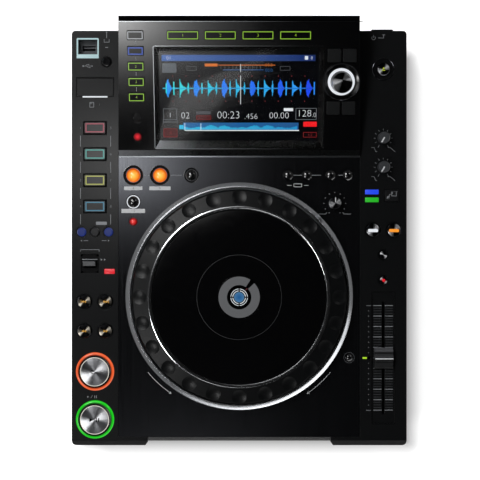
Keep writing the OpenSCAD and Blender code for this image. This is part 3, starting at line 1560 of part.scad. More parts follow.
module rear_sockets() {
    body_y = rear_y - 12;
    low = main_board_z + board_t;
    color("#a4a7aa") {
        for (x = rca_x) {
            translate([x - 6, body_y, low]) cube([12, 12, socket_at + 6 - low]);
            difference() {
                union() {
                    rod_y(x, rear_y - over, socket_at, rca_r + rca_step, rear_t + over);
                    rod_y(x, strip_back - over, socket_at, rca_r, rca_l + over);
                }
                rod_y(x, strip_back, socket_at, 1.6, rca_l + over);
            }
        }
        difference() {
            union() {
                translate([jack_x - 4.5, body_y - 2, low]) cube([9, 14, socket_at + 4 - low]);
                rod_y(jack_x, rear_y - over, socket_at, 3, rear_t + over);
            }
            rod_y(jack_x, body_y, socket_at, jack_r, strip_back - body_y + over);
        }
        socket_box(lan_x, 16, 13.5, 11.7, 8, 12, low);
        socket_box(device_x, 12, 11, 8.4, 7.8, 12, low);
        translate([device_x, strip_back - 7.5, socket_at]) cube([5.6, 11, 3.2], center = true);
        // mains inlet, on the panel itself
        translate([inlet_x, rear_y - 9, socket_at + 2]) difference() {
            cube([24, 22, 19], center = true);
            translate([0, 4, 0]) cube([17, 22, 11], center = true);
        }
        for (x = [-4, 4]) translate([inlet_x + x, strip_back - 13, socket_at + 2])
            cube([1.5, 12, 4], center = true);
    }
}

module socket_box(x, w, h, in_w, in_h, in_l, low) {
    difference() {
        union() {
            translate([x - w / 2, strip_back - 15, socket_at - h / 2]) cube([w, 15, h]);
            translate([x - w / 2, strip_back - 15, low]) cube([w, 12, socket_at - low]);
        }
        translate([x - in_w / 2, strip_back - in_l, socket_at - in_h / 2]) cube([in_w, in_l + over, in_h]);
    }
}

module power_button() {
    color("#141516") translate([power_at.x, 0, power_at.y]) {
        translate([-power_w / 2, rear_y - seat_gap, -power_h / 2])
            cube([power_w, rear_t + seat_gap + 2.7, power_h]);
        translate([-power_w / 2 - flange_w, rear_y - seat_gap - flange_t, -power_h / 2 - flange_w])
            cube([power_w + 2 * flange_w, flange_t, power_h + 2 * flange_w]);
        rod_y(0, rear_y - seat_gap - 8, 0, 3, 8);
    }
}

base_tray();
top_case();
deck_plate();
display_housing();
display_glass();
display_module();
jog_trim_ring();
jog_bearing();
jog_display();
rear_panel();
rear_sockets();
circuit_boards();
power_supply();
drive_frame();
slot_bezel();
feet();
screws();
lamp_lenses();
media_sockets();
fader_unit();
jog_wheel();
jog_plate();
play_button();
cue_button();
tempo_knob();
direction_lever();
selector_shaft();
selector_knob();
hot_cue_a();
hot_cue_b();
hot_cue_c();
hot_cue_d();
track_keys();
search_keys();
loop_in_button();
loop_out_button();
reloop_button();
beat_loop_button();
slip_button();
memory_keys();
delete_button();
jog_adjust_knob();
tempo_reset_button();
power_button();
eject_button();
touch_speed_knob();
release_speed_knob();
jog_mode_button();
sync_keys();
tempo_keys();
usb_stop_button();
bank_keys();
time_mode_button();
quantize_button();
source_keys();
menu_keys();
pad_keys();
sd_door();
turntable();
pickup_sled();
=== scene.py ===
# A tabletop disc player for a booth: finishes, lit parts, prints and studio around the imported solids.
import math
import random
import bpy
import bmesh
from mathutils import Matrix, Vector


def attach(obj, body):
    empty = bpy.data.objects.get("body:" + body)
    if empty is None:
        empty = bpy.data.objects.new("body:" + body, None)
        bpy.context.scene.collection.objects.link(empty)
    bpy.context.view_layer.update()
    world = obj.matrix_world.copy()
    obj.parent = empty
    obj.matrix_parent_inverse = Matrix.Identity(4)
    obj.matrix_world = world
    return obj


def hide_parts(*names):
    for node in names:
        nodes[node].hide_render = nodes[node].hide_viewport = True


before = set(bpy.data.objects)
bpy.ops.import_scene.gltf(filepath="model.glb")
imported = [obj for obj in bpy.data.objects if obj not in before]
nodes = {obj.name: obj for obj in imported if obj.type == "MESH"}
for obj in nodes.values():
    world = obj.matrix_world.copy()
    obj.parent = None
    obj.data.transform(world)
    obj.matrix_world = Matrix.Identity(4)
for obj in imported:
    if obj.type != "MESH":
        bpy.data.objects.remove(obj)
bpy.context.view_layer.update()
print("frame loaded,", len(nodes), "nodes")

# places in millimetres that several pieces share
stripX, jogY, faderY = 137.7, -59.2, -118.3
cueY, playY = -131.2, -177
loopInX, loopOutX, loopY = -101.2, -75.7, 56.3
adjustX, adjustY = 91.3, 29.4
selectorX, selectorV = 95.7, 64.5
sourceX, menuX, topRow, keyTop = -96.3, (-52.2, -17.4, 17.4, 52.2), 107.4, 1.8
body = {"deckZ": 80, "slopeY": 80, "slopeZ": 84, "tilt": 14.32, "lipY": 75, "lipZ": 82.5, "lipD": 5,
        "lipRise": 1.5}


def leaning(y, z, angle):
    # a frame whose x runs along the body's width and whose y runs up a slope
    return Matrix.Translation((0, y, z)) @ Matrix.Rotation(angle, 4, "X")


deckFrame = Matrix.Translation((0, 0, body["deckZ"]))
slopeFrame = leaning(body["slopeY"], body["slopeZ"], math.radians(body["tilt"]))
lipFrame = leaning(body["lipY"], body["lipZ"], math.atan2(body["lipRise"], body["lipD"]))
jogFrame = Matrix.Translation((0, jogY, 0))


# shapes: each returns a bmesh in millimetres, standing on z = 0

def rounded(shape, parts, offset, segments, affect="EDGES"):
    bmesh.ops.bevel(shape, geom=parts, offset=offset, segments=segments, profile=0.5, affect=affect,
                    material=-1)


def slab(w, d, h, corner=0, edge=0):
    shape = bmesh.new()
    bmesh.ops.create_cube(shape, size=1,
                          matrix=Matrix.Translation((0, 0, h / 2)) @ Matrix.Diagonal((w, d, h, 1)))
    if corner:
        rounded(shape, [e for e in shape.edges if abs(e.verts[0].co.z - e.verts[1].co.z) > h / 2], corner, 4)
    if edge:
        rounded(shape, [e for e in shape.edges if min(v.co.z for v in e.verts) > h * 0.99], edge, 2)
    return shape


def disc(r, h, steps=32):
    shape = bmesh.new()
    bmesh.ops.create_cone(shape, cap_ends=True, segments=steps, radius1=r, radius2=r, depth=h,
                          matrix=Matrix.Translation((0, 0, h / 2)))
    return shape


def turned(profile, steps=96, start=0, turn=360):
    # profile is (radius, height) pairs; it closes on itself unless it starts and ends on the axis
    shape = bmesh.new()
    points = [shape.verts.new((r, 0, z)) for r, z in profile]
    loop = points if profile[0][0] == 0 else points + points[:1]
    lines = [shape.edges.new(pair) for pair in zip(loop, loop[1:])]
    ends = [shape.faces.new(points)] if turn != 360 else []
    bmesh.ops.rotate(shape, verts=points, cent=(0, 0, 0), matrix=Matrix.Rotation(math.radians(start), 3, "Z"))
    bmesh.ops.spin(shape, geom=points + lines + ends, cent=(0, 0, 0), axis=(0, 0, 1),
                   angle=math.radians(turn), steps=steps, use_merge=turn == 360)
    bmesh.ops.remove_doubles(shape, verts=shape.verts, dist=0.0005)
    return shape


def ring(inner, outer, h, steps=72, start=0, turn=360):
    return turned([(inner, 0), (outer, 0), (outer, h), (inner, h)], steps, start, turn)


def openFrame(w, d, rim, corner=0):
    # a flat rectangle with its middle taken out: the sheet, and the corners of the opening
    sheet = bmesh.new()
    bmesh.ops.create_grid(sheet, x_segments=1, y_segments=1, size=0.5, matrix=Matrix.Diagonal((w, d, 1, 1)))
    if corner:
        rounded(sheet, sheet.verts[:], corner, 4, "VERTICES")
    middle = sheet.faces[:]
    bmesh.ops.inset_region(sheet, faces=middle, thickness=rim, use_even_offset=True, use_boundary=True)
    opening = middle[0].verts[:]
    bmesh.ops.delete(sheet, geom=middle, context="FACES")
    return sheet, opening


def thicken(sheet):
    # gives a sheet a second side, and returns the corners of that side
    grown = bmesh.ops.extrude_face_region(sheet, geom=sheet.faces[:])["geom"]
    return [g for g in grown if isinstance(g, bmesh.types.BMVert)]


def border(w, d, rim, h, corner=0.01):
    sheet, opening = openFrame(w, d, rim, corner)
    bmesh.ops.translate(sheet, vec=(0, 0, h), verts=thicken(sheet))
    return sheet


def meshFrom(name, shape):
    mesh = bpy.data.meshes.new(name)
    shape.to_mesh(mesh)
    shape.free()
    return mesh


def placed(name, data):
    made = bpy.data.objects.new(name, data)
    bpy.context.scene.collection.objects.link(made)
    return made


def join(shapes):
    whole = shapes[0]
    for shape in shapes[1:]:
        loose = meshFrom("loose", shape)
        whole.from_mesh(loose)
        bpy.data.meshes.remove(loose)
    return whole


def put(shape, x, y, z=0, turn=0):
    shape.transform(Matrix.Translation((x, y, z)) @ Matrix.Rotation(math.radians(turn), 4, "Z"))
    return shape


def line(x0, y0, x1, y1, width, h=0.05, z=0):
    length = math.hypot(x1 - x0, y1 - y0)
    return put(slab(length + width, width, h), (x0 + x1) / 2, (y0 + y1) / 2, z,
               math.degrees(math.atan2(y1 - y0, x1 - x0)))


def stroke(points, width, h=0.05, z=0):
    return join([line(*a, *b, width, h, z) for a, b in zip(points, points[1:])])


def around(x, y, r, angle):
    # a point at r from a middle, the angle counted from the right
    return x + r * math.cos(math.radians(angle)), y + r * math.sin(math.radians(angle))


def spoke(x, y, r0, r1, angle, width, h=0.05, z=0):
    return line(*around(x, y, r0, angle), *around(x, y, r1, angle), width, h, z)


def digits(text, size, x, y, z=0, h=0.05):
    # numerals and signs only
    curve = bpy.data.curves.new("digits", "FONT")
    curve.body, curve.size, curve.extrude, curve.resolution_u = text, size, h / 2, 3
    curve.align_x, curve.align_y, curve.offset = "CENTER", "CENTER", -0.024 * size
    holder = placed("digits", curve)
    shape = bmesh.new()
    shape.from_mesh(holder.to_mesh())
    holder.to_mesh_clear()
    bpy.data.objects.remove(holder)
    bpy.data.curves.remove(curve)
    bmesh.ops.remove_doubles(shape, verts=shape.verts, dist=0.0005)
    return put(shape, x, y, z + h / 2)


def arrow(r, x, y, turn, z=0, h=0.05):
    # a solid triangle that points along turn
    return put(disc(r, h, 3), x, y, z, turn - 90)


def piece(name, shapes, material, ridesOn="player", base=deckFrame, replaced=(), sharp=40):
    whole = join(shapes)
    whole.transform(Matrix.Scale(0.001, 4) @ base)
    bmesh.ops.recalc_face_normals(whole, faces=whole.faces)
    mesh = meshFrom(name, whole)
    mesh.shade_smooth()
    mesh.set_sharp_from_angle(angle=math.radians(sharp))
    mesh.materials.append(material)
    made = placed(name, mesh)
    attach(made, ridesOn)
    if replaced:
        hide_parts(*replaced)
    return made


def lamp(name, shapes, material, ridesOn="player", base=deckFrame, replaced=()):
    return piece(name, shapes, material, ridesOn, base, replaced)


# materials

def hexColour(code):
    channels = [int(code[i:i + 2], 16) / 255 for i in (1, 3, 5)]
    return [c / 12.92 if c <= 0.04045 else ((c + 0.055) / 1.055) ** 2.4 for c in channels] + [1]


def addNode(tree, kind, settings=None, links=None, stops=()):
    # stops are a ramp's: the value and the colour there, in rising order
    node = tree.nodes.new(kind)
    for key, value in (settings or {}).items():
        if isinstance(key, int) or key in node.inputs:
            node.inputs[key].default_value = value
        else:
            setattr(node, key, value)
    for key, (source, output) in (links or {}).items():
        tree.links.new(source.outputs[output], node.inputs[key])
    if stops:
        node.color_ramp.elements.remove(node.color_ramp.elements[0])
    for i, (value, colour) in enumerate(stops):
        element = node.color_ramp.elements.new(value) if i else node.color_ramp.elements[0]
        element.position, element.color = value, hexColour(colour)
    return node


def feed(tree, node, socket, output=0):
    tree.links.new(node.outputs[output], tree.nodes["Principled BSDF"].inputs[socket])


def newMaterial(name, colour, **sockets):
    material = bpy.data.materials.new(name)
    material.use_nodes = True
    shader = material.node_tree.nodes["Principled BSDF"]
    shader.inputs["Base Color"].default_value = hexColour(colour)
    for socket, value in sockets.items():
        title = "".join(" " + c if c.isupper() else c for c in socket).title().replace("Ior", "IOR")
        shader.inputs[title].default_value = hexColour(value) if isinstance(value, str) else value
    return material


def objectPoint(tree, centre=(0, 0, 0), scale=(1, 1, 1)):
    # object coordinates, measured from a centre in millimetres
    source = addNode(tree, "ShaderNodeTexCoord")
    moved = addNode(tree, "ShaderNodeVectorMath", {"operation": "SUBTRACT", 1: [c / 1000 for c in centre]},
                    {0: (source, "Object")})
    return addNode(tree, "ShaderNodeVectorMath", {"operation": "MULTIPLY", 1: scale}, {0: (moved, 0)})


def grained(name, colour, size, depth, gloss, stretch=(1, 1, 1), softEdge=0.0, detail=3, **sockets):
    # size is the grain's width and depth its height, in millimetres; gloss is how far the roughness wanders
    material = newMaterial(name, colour, **sockets)
    tree = material.node_tree
    point = objectPoint(tree, scale=[s * 1000 / size for s in stretch])
    noise = addNode(tree, "ShaderNodeTexNoise", {"Scale": 1, "Detail": detail, "Roughness": 0.55},
                    {"Vector": (point, 0)})
    wander = addNode(tree, "ShaderNodeMapRange", {"From Min": 0.3, "From Max": 0.7, "To Min": gloss[0],
                                                  "To Max": gloss[1]}, {"Value": (noise, 0)})
    feed(tree, wander, "Roughness")
    bump = addNode(tree, "ShaderNodeBump", {"Strength": 1, "Distance": depth / 1000}, {"Height": (noise, 0)})
    if softEdge:
        edge = addNode(tree, "ShaderNodeBevel", {"samples": 4, "Radius": softEdge / 1000})
        tree.links.new(edge.outputs[0], bump.inputs["Normal"])
    feed(tree, bump, "Normal")
    return material


def knurl(material, centre, teeth, lead, depth, softEdge):
    # crossed rows of teeth round a centre; lead turns the rows, in teeth per millimetre of radius or height
    tree = material.node_tree
    point = addNode(tree, "ShaderNodeSeparateXYZ", {}, {0: (objectPoint(tree, centre), 0)})
    angle = addNode(tree, "ShaderNodeMath", {"operation": "ARCTAN2"}, {0: (point, 1), 1: (point, 0)})
    turns = addNode(tree, "ShaderNodeMath", {"operation": "MULTIPLY", 1: teeth}, {0: (angle, 0)})
    flat = addNode(tree, "ShaderNodeCombineXYZ", {}, {0: (point, 0), 1: (point, 1)})
    radius = addNode(tree, "ShaderNodeVectorMath", {"operation": "LENGTH"}, {0: (flat, 0)})
    away = addNode(tree, "ShaderNodeMath", {"operation": "ADD"}, {0: (radius, 1), 1: (point, 2)})
    slant = addNode(tree, "ShaderNodeMath", {"operation": "MULTIPLY", 1: lead * 1000 * math.tau},
                    {0: (away, 0)})
    waves = []
    for sign in ("ADD", "SUBTRACT"):
        row = addNode(tree, "ShaderNodeMath", {"operation": sign}, {0: (turns, 0), 1: (slant, 0)})
        waves.append(addNode(tree, "ShaderNodeMath", {"operation": "SINE"}, {0: (row, 0)}))
    height = addNode(tree, "ShaderNodeMath", {"operation": "MINIMUM"}, {0: (waves[0], 0), 1: (waves[1], 0)})
    edge = addNode(tree, "ShaderNodeBevel", {"samples": 8, "Radius": softEdge / 1000})
    bump = addNode(tree, "ShaderNodeBump", {"Strength": 1, "Distance": depth / 1000},
                   {"Height": (height, 0), "Normal": (edge, 0)})
    feed(tree, bump, "Normal")
    return material


def spun(name, bright, dark, x, y, paintedHighlightAngle, roughness=0.36):
    # turning marks draw each highlight out across them; painted highlight: the base colour is painted pale
    # along the highlight line and darker away from it, standing in for the bright wedges of spun metal
    material = newMaterial(name, bright, metallic=1.0, roughness=roughness, anisotropic=0.95,
                           anisotropicRotation=0.25)
    tree = material.node_tree
    feed(tree, addNode(tree, "ShaderNodeTangent", {"direction_type": "RADIAL", "axis": "Z"}), "Tangent")
    point = addNode(tree, "ShaderNodeSeparateXYZ", {}, {0: (objectPoint(tree, (x, y, 0)), 0)})
    angle = addNode(tree, "ShaderNodeMath", {"operation": "ARCTAN2"}, {0: (point, 1), 1: (point, 0)})
    twice = addNode(tree, "ShaderNodeMath", {"operation": "MULTIPLY_ADD", 1: 2, 2: -2 * math.radians(paintedHighlightAngle)},
                    {0: (angle, 0)})
    wave = addNode(tree, "ShaderNodeMath", {"operation": "COSINE"}, {0: (twice, 0)})
    share = addNode(tree, "ShaderNodeMapRange", {"From Min": 0.0, "From Max": 0.8}, {"Value": (wave, 0)})
    shade = addNode(tree, "ShaderNodeMix", {"data_type": "RGBA", 6: hexColour(dark), 7: hexColour(bright)},
                    {0: (share, 0)})
    feed(tree, shade, "Base Color", 2)
    return material


def faded(material, axis, start, length, stops, socket="Base Color"):
    # a colour that changes along one axis, from start, in millimetres; stops: share of the length, colour
    tree = material.node_tree
    point = addNode(tree, "ShaderNodeSeparateXYZ", {},
                    {0: (objectPoint(tree, [start if i == axis else 0 for i in range(3)],
                                     (1000 / length,) * 3), 0)})
    feed(tree, addNode(tree, "ShaderNodeValToRGB", {}, {0: (point, axis)}, stops), socket)
    return material


def lit(name, colour, strength=0.95, ground="#0a0a0a"):
    # a lamp behind tinted plastic: it keeps its colour in any light
    return newMaterial(name, ground, roughness=0.35, emissionColor=colour, emissionStrength=strength)


def litRound(name, centre, reach, stops, strength=1.0, ground="#0c0a08"):
    # a lamp behind a round of plastic: stops are the radius, as a share of reach, and the colour there
    material = newMaterial(name, ground, roughness=0.18, emissionStrength=strength)
    tree = material.node_tree
    point = objectPoint(tree, centre, (1000 / reach, 1000 / reach, 0))
    away = addNode(tree, "ShaderNodeVectorMath", {"operation": "LENGTH"}, {0: (point, 0)})
    feed(tree, addNode(tree, "ShaderNodeValToRGB", {}, {0: (away, 1)}, stops), "Emission Color")
    return material


def litDome(name, centre, reach, core, rim, edge):
    # a translucent cap over a lamp: a hot core that falls off to a deeper rim
    return litRound(name, centre, reach, [(0.2, core), (0.75, rim), (1.0, edge)])


def finish(material, *names):
    for name in names:
        nodes[name].data.materials.clear()
        nodes[name].data.materials.append(material)


# spark-eroded mould: a fine tooth that greys the black where light grazes it; real grain 0.2 mm, drawn at 0.7
mouldedAbs = grained("mouldedAbs", "#0e0f10", 0.7, 0.004, (0.27, 0.34), softEdge=0.5, specularIorLevel=0.2)
# anodised sheet brushed front to back: hairlines 0.1 mm apart, drawn at 0.9 so that they still show
finish(grained("brushedBlackAluminium", "#2e2f32", 0.9, 0.003, (0.15, 0.24), stretch=(1, 0.012, 1), detail=2,
               metallic=0.9), "deck_plate")
# high-gloss moulding: near mirror, with the slight waviness of a moulded skin
finish(grained("polishedBlackAbs", "#050506", 2.5, 0.002, (0.12, 0.16), softEdge=0.4), "display_housing")
# baked powder on folded steel: an orange-peel skin
finish(grained("powderCoatedSteel", "#131415", 0.8, 0.012, (0.45, 0.6), softEdge=0.3), "base_tray")
# cast acrylic: deep black that mirrors the room
acrylicPlate = grained("blackAcrylicPlate", "#050506", 6, 0.002, (0.09, 0.13), softEdge=0.2, coatWeight=0.3,
                       coatRoughness=0.04)
# rubber-like paint on ABS: a soft wide highlight
finish(grained("softTouchAbs", "#0a0b0c", 0.6, 0.005, (0.3, 0.38), softEdge=0.5, specularIorLevel=0.18),
       "jog_wheel")
# finely eroded key tops: a dull sheen and soft edges
matteKey = grained("mattKeyAbs", "#141516", 0.5, 0.005, (0.28, 0.34), softEdge=0.25, specularIorLevel=0.3)
# turned and cross-knurled aluminium: rows of bright points
trimSilver = knurl(newMaterial("knurledAluminium", "#c9cbcf", metallic=1.0, roughness=0.24),
                   (0, jogY, body["deckZ"]), 300, 0.45, 0.005, 0.15)
# buffed aluminium: bright, with a faint haze
polishedSilver = grained("polishedAluminium", "#d9dbde", 3, 0.002, (0.1, 0.16), metallic=1.0)
# chrome under a dark lacquer: small bright highlights on near black
smokedChrome = grained("smokedChrome", "#4a4b4f", 2, 0.002, (0.12, 0.18), metallic=1.0)
# bare chrome: a sharp mirror
finish(grained("chromePlate", "#d6d8db", 2, 0.002, (0.07, 0.12), metallic=1.0), "selector_shaft")
# zinc-plated sheet: cool grey with cloudy patches of gloss
finish(grained("zincPlatedSteel", "#a9adb1", 5, 0.01, (0.3, 0.45), metallic=1.0), "drive_frame",
       "power_supply", "screws", "jog_bearing", "turntable", "pickup_sled")
# nickel: a warmer, softer mirror than chrome
finish(grained("nickelPlatedSteel", "#a59f93", 2, 0.004, (0.22, 0.32), metallic=1.0), "rear_sockets")
# green lacquer over copper: uneven gloss
finish(grained("solderMaskedBoard", "#0d3d24", 1.2, 0.02, (0.3, 0.45), coatWeight=0.4), "circuit_boards")
# moulded rubber: dull, with a dry tooth
finish(grained("mouldedRubber", "#1a1a1b", 0.9, 0.02, (0.7, 0.85), softEdge=0.4), "feet")
# clear glass of low index, so that the picture under it stays undimmed
coverGlass = newMaterial("mineralGlass", "#ffffff", roughness=0.02, transmissionWeight=1.0, ior=1.14)
# piano-black caps: a wet look from the coat
glossCap = grained("glossBlackAbs", "#08080a", 3, 0.002, (0.1, 0.16), softEdge=0.3, coatWeight=0.8,
                   coatRoughness=0.05)
# painted shade: near-black eroded ABS that gives back next to nothing, laid in the bottoms of wells and along
# shadow gaps
paintedShadeBlack = grained("wellAbsPaintedShade", "#030304", 0.6, 0.004, (0.5, 0.6), specularIorLevel=0.08)


def ink(name, colour, gloss=(0.5, 0.6), **sockets):
    # one pass of epoxy ink: a slightly uneven matt skin
    return grained(name, colour, 0.4, 0.002, gloss, **sockets)


printWhite = ink("screenPrintedInkWhite", "#d2d4d6")
printGrey = ink("screenPrintedInkGrey", "#8c8f93")
inkBlack = ink("padPrintedInkBlack", "#060606", (0.4, 0.5), specularIorLevel=0.05)
printFaint = ink("screenPrintedInkDark", "#3a3c3f")
# printed amber ink, with a faint painted glow
printAmberPaintedGlow = ink("screenPrintedInkAmberPaintedGlow", "#c8912f", emissionColor="#c8912f", emissionStrength=0.25)
print("materials made")


finish(mouldedAbs, "top_case", "slot_bezel", "rear_panel", "sd_door")
finish(acrylicPlate, "jog_plate")
finish(trimSilver, "jog_trim_ring")
finish(matteKey, "hot_cue_a", "hot_cue_b", "hot_cue_c", "hot_cue_d", "source_keys", "menu_keys", "pad_keys",
       "jog_mode_button", "power_button", "direction_lever")
finish(glossCap, "usb_stop_button", "beat_loop_button", "memory_keys", "delete_button", "tempo_reset_button",
       "time_mode_button", "reloop_button", "display_module", "jog_display")
finish(grained("mattKnobAbs", "#333538", 0.5, 0.006, (0.36, 0.46), softEdge=0.3), "touch_speed_knob",
       "release_speed_knob")
# matt black grip with paler painted highlight bands across its upper half, where its slopes face the light
paintedLightGrip = grained("gripAbsPaintedLight", "#1a1b1c", 0.5, 0.005, (0.36, 0.46), softEdge=0.3, specularIorLevel=0.3)
paintedLightBands = [(0, "#1a1b1c"), (0.55, "#1a1b1c"), (0.58, "#404143"), (0.69, "#3a3b3d"), (0.72, "#131415"),
         (0.79, "#161718"), (0.84, "#505154"), (1, "#56575a")]
finish(faded(paintedLightGrip, 1, faderY - 10, 20, paintedLightBands), "tempo_knob")
# the adjusting knob's spun chrome, with a painted highlight wedge
finish(spun("spunKnobChrome", "#b4b5b8", "#1c1c1e", adjustX, adjustY, 20), "jog_adjust_knob")
finish(smokedChrome, "track_keys", "search_keys", "sync_keys", "eject_button", "tempo_keys")
finish(polishedSilver, "play_button", "cue_button")
# painted shade: the fader's steel is coloured near black so that the slot over it reads dark
finish(grained("faderSteelPaintedShade", "#060607", 2, 0.004, (0.45, 0.55), metallic=0.5), "fader_unit")
# painted shade: the sockets' steel is coloured dark grey, as it reads deep in its well
finish(grained("socketSteelPaintedShade", "#3c3e41", 1, 0.004, (0.45, 0.55), metallic=0.5), "media_sockets")
# the selector knob's spun steel, with a painted highlight wedge
finish(spun("spunKnobSteel", "#c4c5c8", "#0d0d0e", selectorX, 142.5, 32, 0.3), "selector_knob")
for side, x in (("In", loopInX), ("Out", loopOutX)):
    cap = litDome("litOrangeCap" + side, (x, 55.9, 0), 6.4, "#ffd05c", "#ff8a1c", "#c24a08")
    finish(cap, "loop_" + side.lower() + "_button")
finish(litDome("litRedCapSlip", (loopInX, 12, 0), 3.8, "#f0403c", "#980c10", "#300406"), "slip_button")
finish(litDome("litRedCapQuantize", (sourceX, 92.2, 0), 3.8, "#e02836", "#8a0a14", "#200408"),
       "quantize_button")


def outerCapsLit(name, colour, x, clear):
    # one moulding of three caps: only those further than clear from the middle are lit, in metres
    material = newMaterial(name, "#07080c", roughness=0.12, coatWeight=0.6, emissionStrength=0.4)
    tree = material.node_tree
    point = addNode(tree, "ShaderNodeSeparateXYZ", {}, {0: (objectPoint(tree, (x, 0, 0)), 0)})
    aside = addNode(tree, "ShaderNodeMath", {"operation": "ABSOLUTE"}, {0: (point, 0)})
    outer = addNode(tree, "ShaderNodeMath", {"operation": "GREATER_THAN", 1: clear}, {0: (aside, 0)})
    shade = addNode(tree, "ShaderNodeMix", {"data_type": "RGBA", 6: hexColour("#000000"),
                                            7: hexColour(colour)}, {0: (outer, 0)})
    feed(tree, shade, "Emission Color", 2)
    return material


finish(outerCapsLit("litBlueCaps", "#1c3a9c", -stripX, 0.007), "bank_keys")
print("solids finished")

# lit rings and lamps, in place of the one set of lenses

inner, outer, foot = 14.4, 18.2, -2.5
ringProfile = [(inner, foot), (outer, foot), (outer, 0.5), (outer - 0.9, 1.3), (outer - 2, 1.6),
               (inner + 0.3, 1.3), (inner, 0.8)]
playGreen = litRound("litGreenRing", (-stripX, playY, 0), 20,
                     [(0.765, "#020602"), (0.80, "#0d8a10"), (0.84, "#16c81a"), (0.9, "#1fd822"),
                      (0.93, "#0e9a12")], 0.9, "#061006")
cueOrange = litRound("litOrangeRing", (-stripX, cueY, 0), 20,
                     [(0.765, "#0a0301"), (0.80, "#a83a16"), (0.84, "#f06030"), (0.9, "#f2683a"),
                      (0.93, "#c04014")], 0.95, "#120804")
lamp("playRing", [put(turned(ringProfile, 128), -stripX, playY)], playGreen, replaced=["lamp_lenses"])
piece("cueRing", [put(turned(ringProfile, 128), -stripX, cueY)], cueOrange)
paleGlow = lit("litPaleEdge", "#f4efe2", 0.9)
for name, y in (("play", playY), ("cue", cueY)):
    lamp(name + "Rim", [put(ring(13.2, 13.75, 0.1, 96), -stripX, y, 3.22)], paleGlow, name + "_button")
litWhite = lit("litWhite", "#e8ecf2")
litBlue = lit("litBlue", "#1f49ee")
litGreen = lit("litGreen", "#22b822", 0.9)
litRed = lit("litRed", "#e01325")
litLime = lit("litLime", "#b9ee2a", 0.85)
litOrange = lit("litOrange", "#ff9a2a")
selectorProfile = [(10.1, -1), (12.6, -1), (12.6, 0.1), (12.2, 0.4), (10.4, 0.4), (10.1, 0.1)]
lamp("selectorRing", [put(turned(selectorProfile, 96), selectorX, selectorV)], litWhite, base=slopeFrame)
usb = {"x": -144.7, "y": 178.9, "w": 21.1}
lamp("usbFrame", [put(border(usb["w"], 16.8, 1.25, 2.8, 1.2), usb["x"], usb["y"], -2.5),
                  put(slab(usb["w"], 2.6, 0.3, 0, 0.1), usb["x"], usb["y"] - 9.6)],
     lit("litUsbFrame", "#b9dadd", 0.7, "#4c5a5c"))
lamp("revLamp", [put(slab(9.9, 4.8, 2.6, 0.4, 0.25), -123.9, -35.6, -2.5)], litRed)
for name, y, glow in (("vinylLamp", 40.3, litBlue), ("discLamp", 32.8, litGreen)):
    lamp(name, [put(slab(12.8, 4.5, 2.8, 0.4, 0.25), 126.8, y, -2.5)], glow)
lamp("faderLamp", [put(slab(4, 1.6, 0.25, 0.3, 0.1), 119.9, faderY)], litLime)
print("lamps made")

# jog wheel

# knurled ring: narrow flat top, broad outer slope
trimProfile = [(103.6, 80), (103.6, 82), (104.1, 82.5), (105.2, 82.5), (108.4, 80.1), (108.8, 79.9),
               (106, 79.9), (106, 78), (104.4, 78), (104.4, 79.9)]
# bright bevel between the wheel and the plate
bevelProfile = [(82.35, 99.75), (84.5, 100.45), (85.5, 100.15), (85.55, 99.6), (85.6, 99.5), (85.62, 100.2),
                (84.5, 100.55), (82.3, 99.8)]
piece("jogTrim", [turned(trimProfile, 180)], trimSilver, base=jogFrame,
      replaced=["jog_trim_ring"], sharp=15)
piece("jogBevelRing", [turned(bevelProfile, 180)], polishedSilver, "jog_wheel", jogFrame)
piece("plateLine", [turned([(39.5, 99.98), (39.9, 99.98), (39.9, 100.02), (39.5, 100.02)], 128)],
      grained("etchedRingLine", "#232426", 0.4, 0.002, (0.4, 0.5)), "jog_plate", base=jogFrame)
dialTop = 99.7


def dialPiece(name, shapes, material):
    return piece(name, shapes, material, base=jogFrame)


dialProfile = [(0, dialTop - 0.1), (20.3, dialTop - 0.1), (20.3, dialTop), (0, dialTop)]
dialPiece("dialGround", [turned(dialProfile, 96)], acrylicPlate)
dialPiece("dialRing", [put(ring(11.4, 19.4, 0.06, 96, 57, 346), 0, 0, dialTop)],
          lit("litDialGrey", "#6a6b6d", 0.45, "#3c3d3f"))
dialPiece("dialMarks", [put(ring(5.6, 6.3, 0.05, 12, a, 78), 0, 0, dialTop) for a in (6, 96, 186, 276)]
          + [put(ring(7.5, 8.05, 0.05, 12, a, 82), 0, 0, dialTop) for a in (4, 94, 184, 274)],
          lit("litDialWhite", "#dfe6ea", 0.9))
dialPiece("dialCore", [put(turned([(0, 0), (4.8, 0), (4.8, 0.05), (0, 0.05)], 48), 0, 0, dialTop)],
          litRound("litDialBlue", (0, jogY, 0), 5, [(0.1, "#1c5c96"), (0.75, "#3f74a4"), (1.0, "#5a7f9c")],
                   0.85))
dialPiece("dialNeedle", [line(6.3, 6.9, 7.4, 8, 0.8, 0.06, dialTop)], lit("litDialRed", "#5c1a20", 0.8))
print("jog wheel dressed")

# caps of turned metal

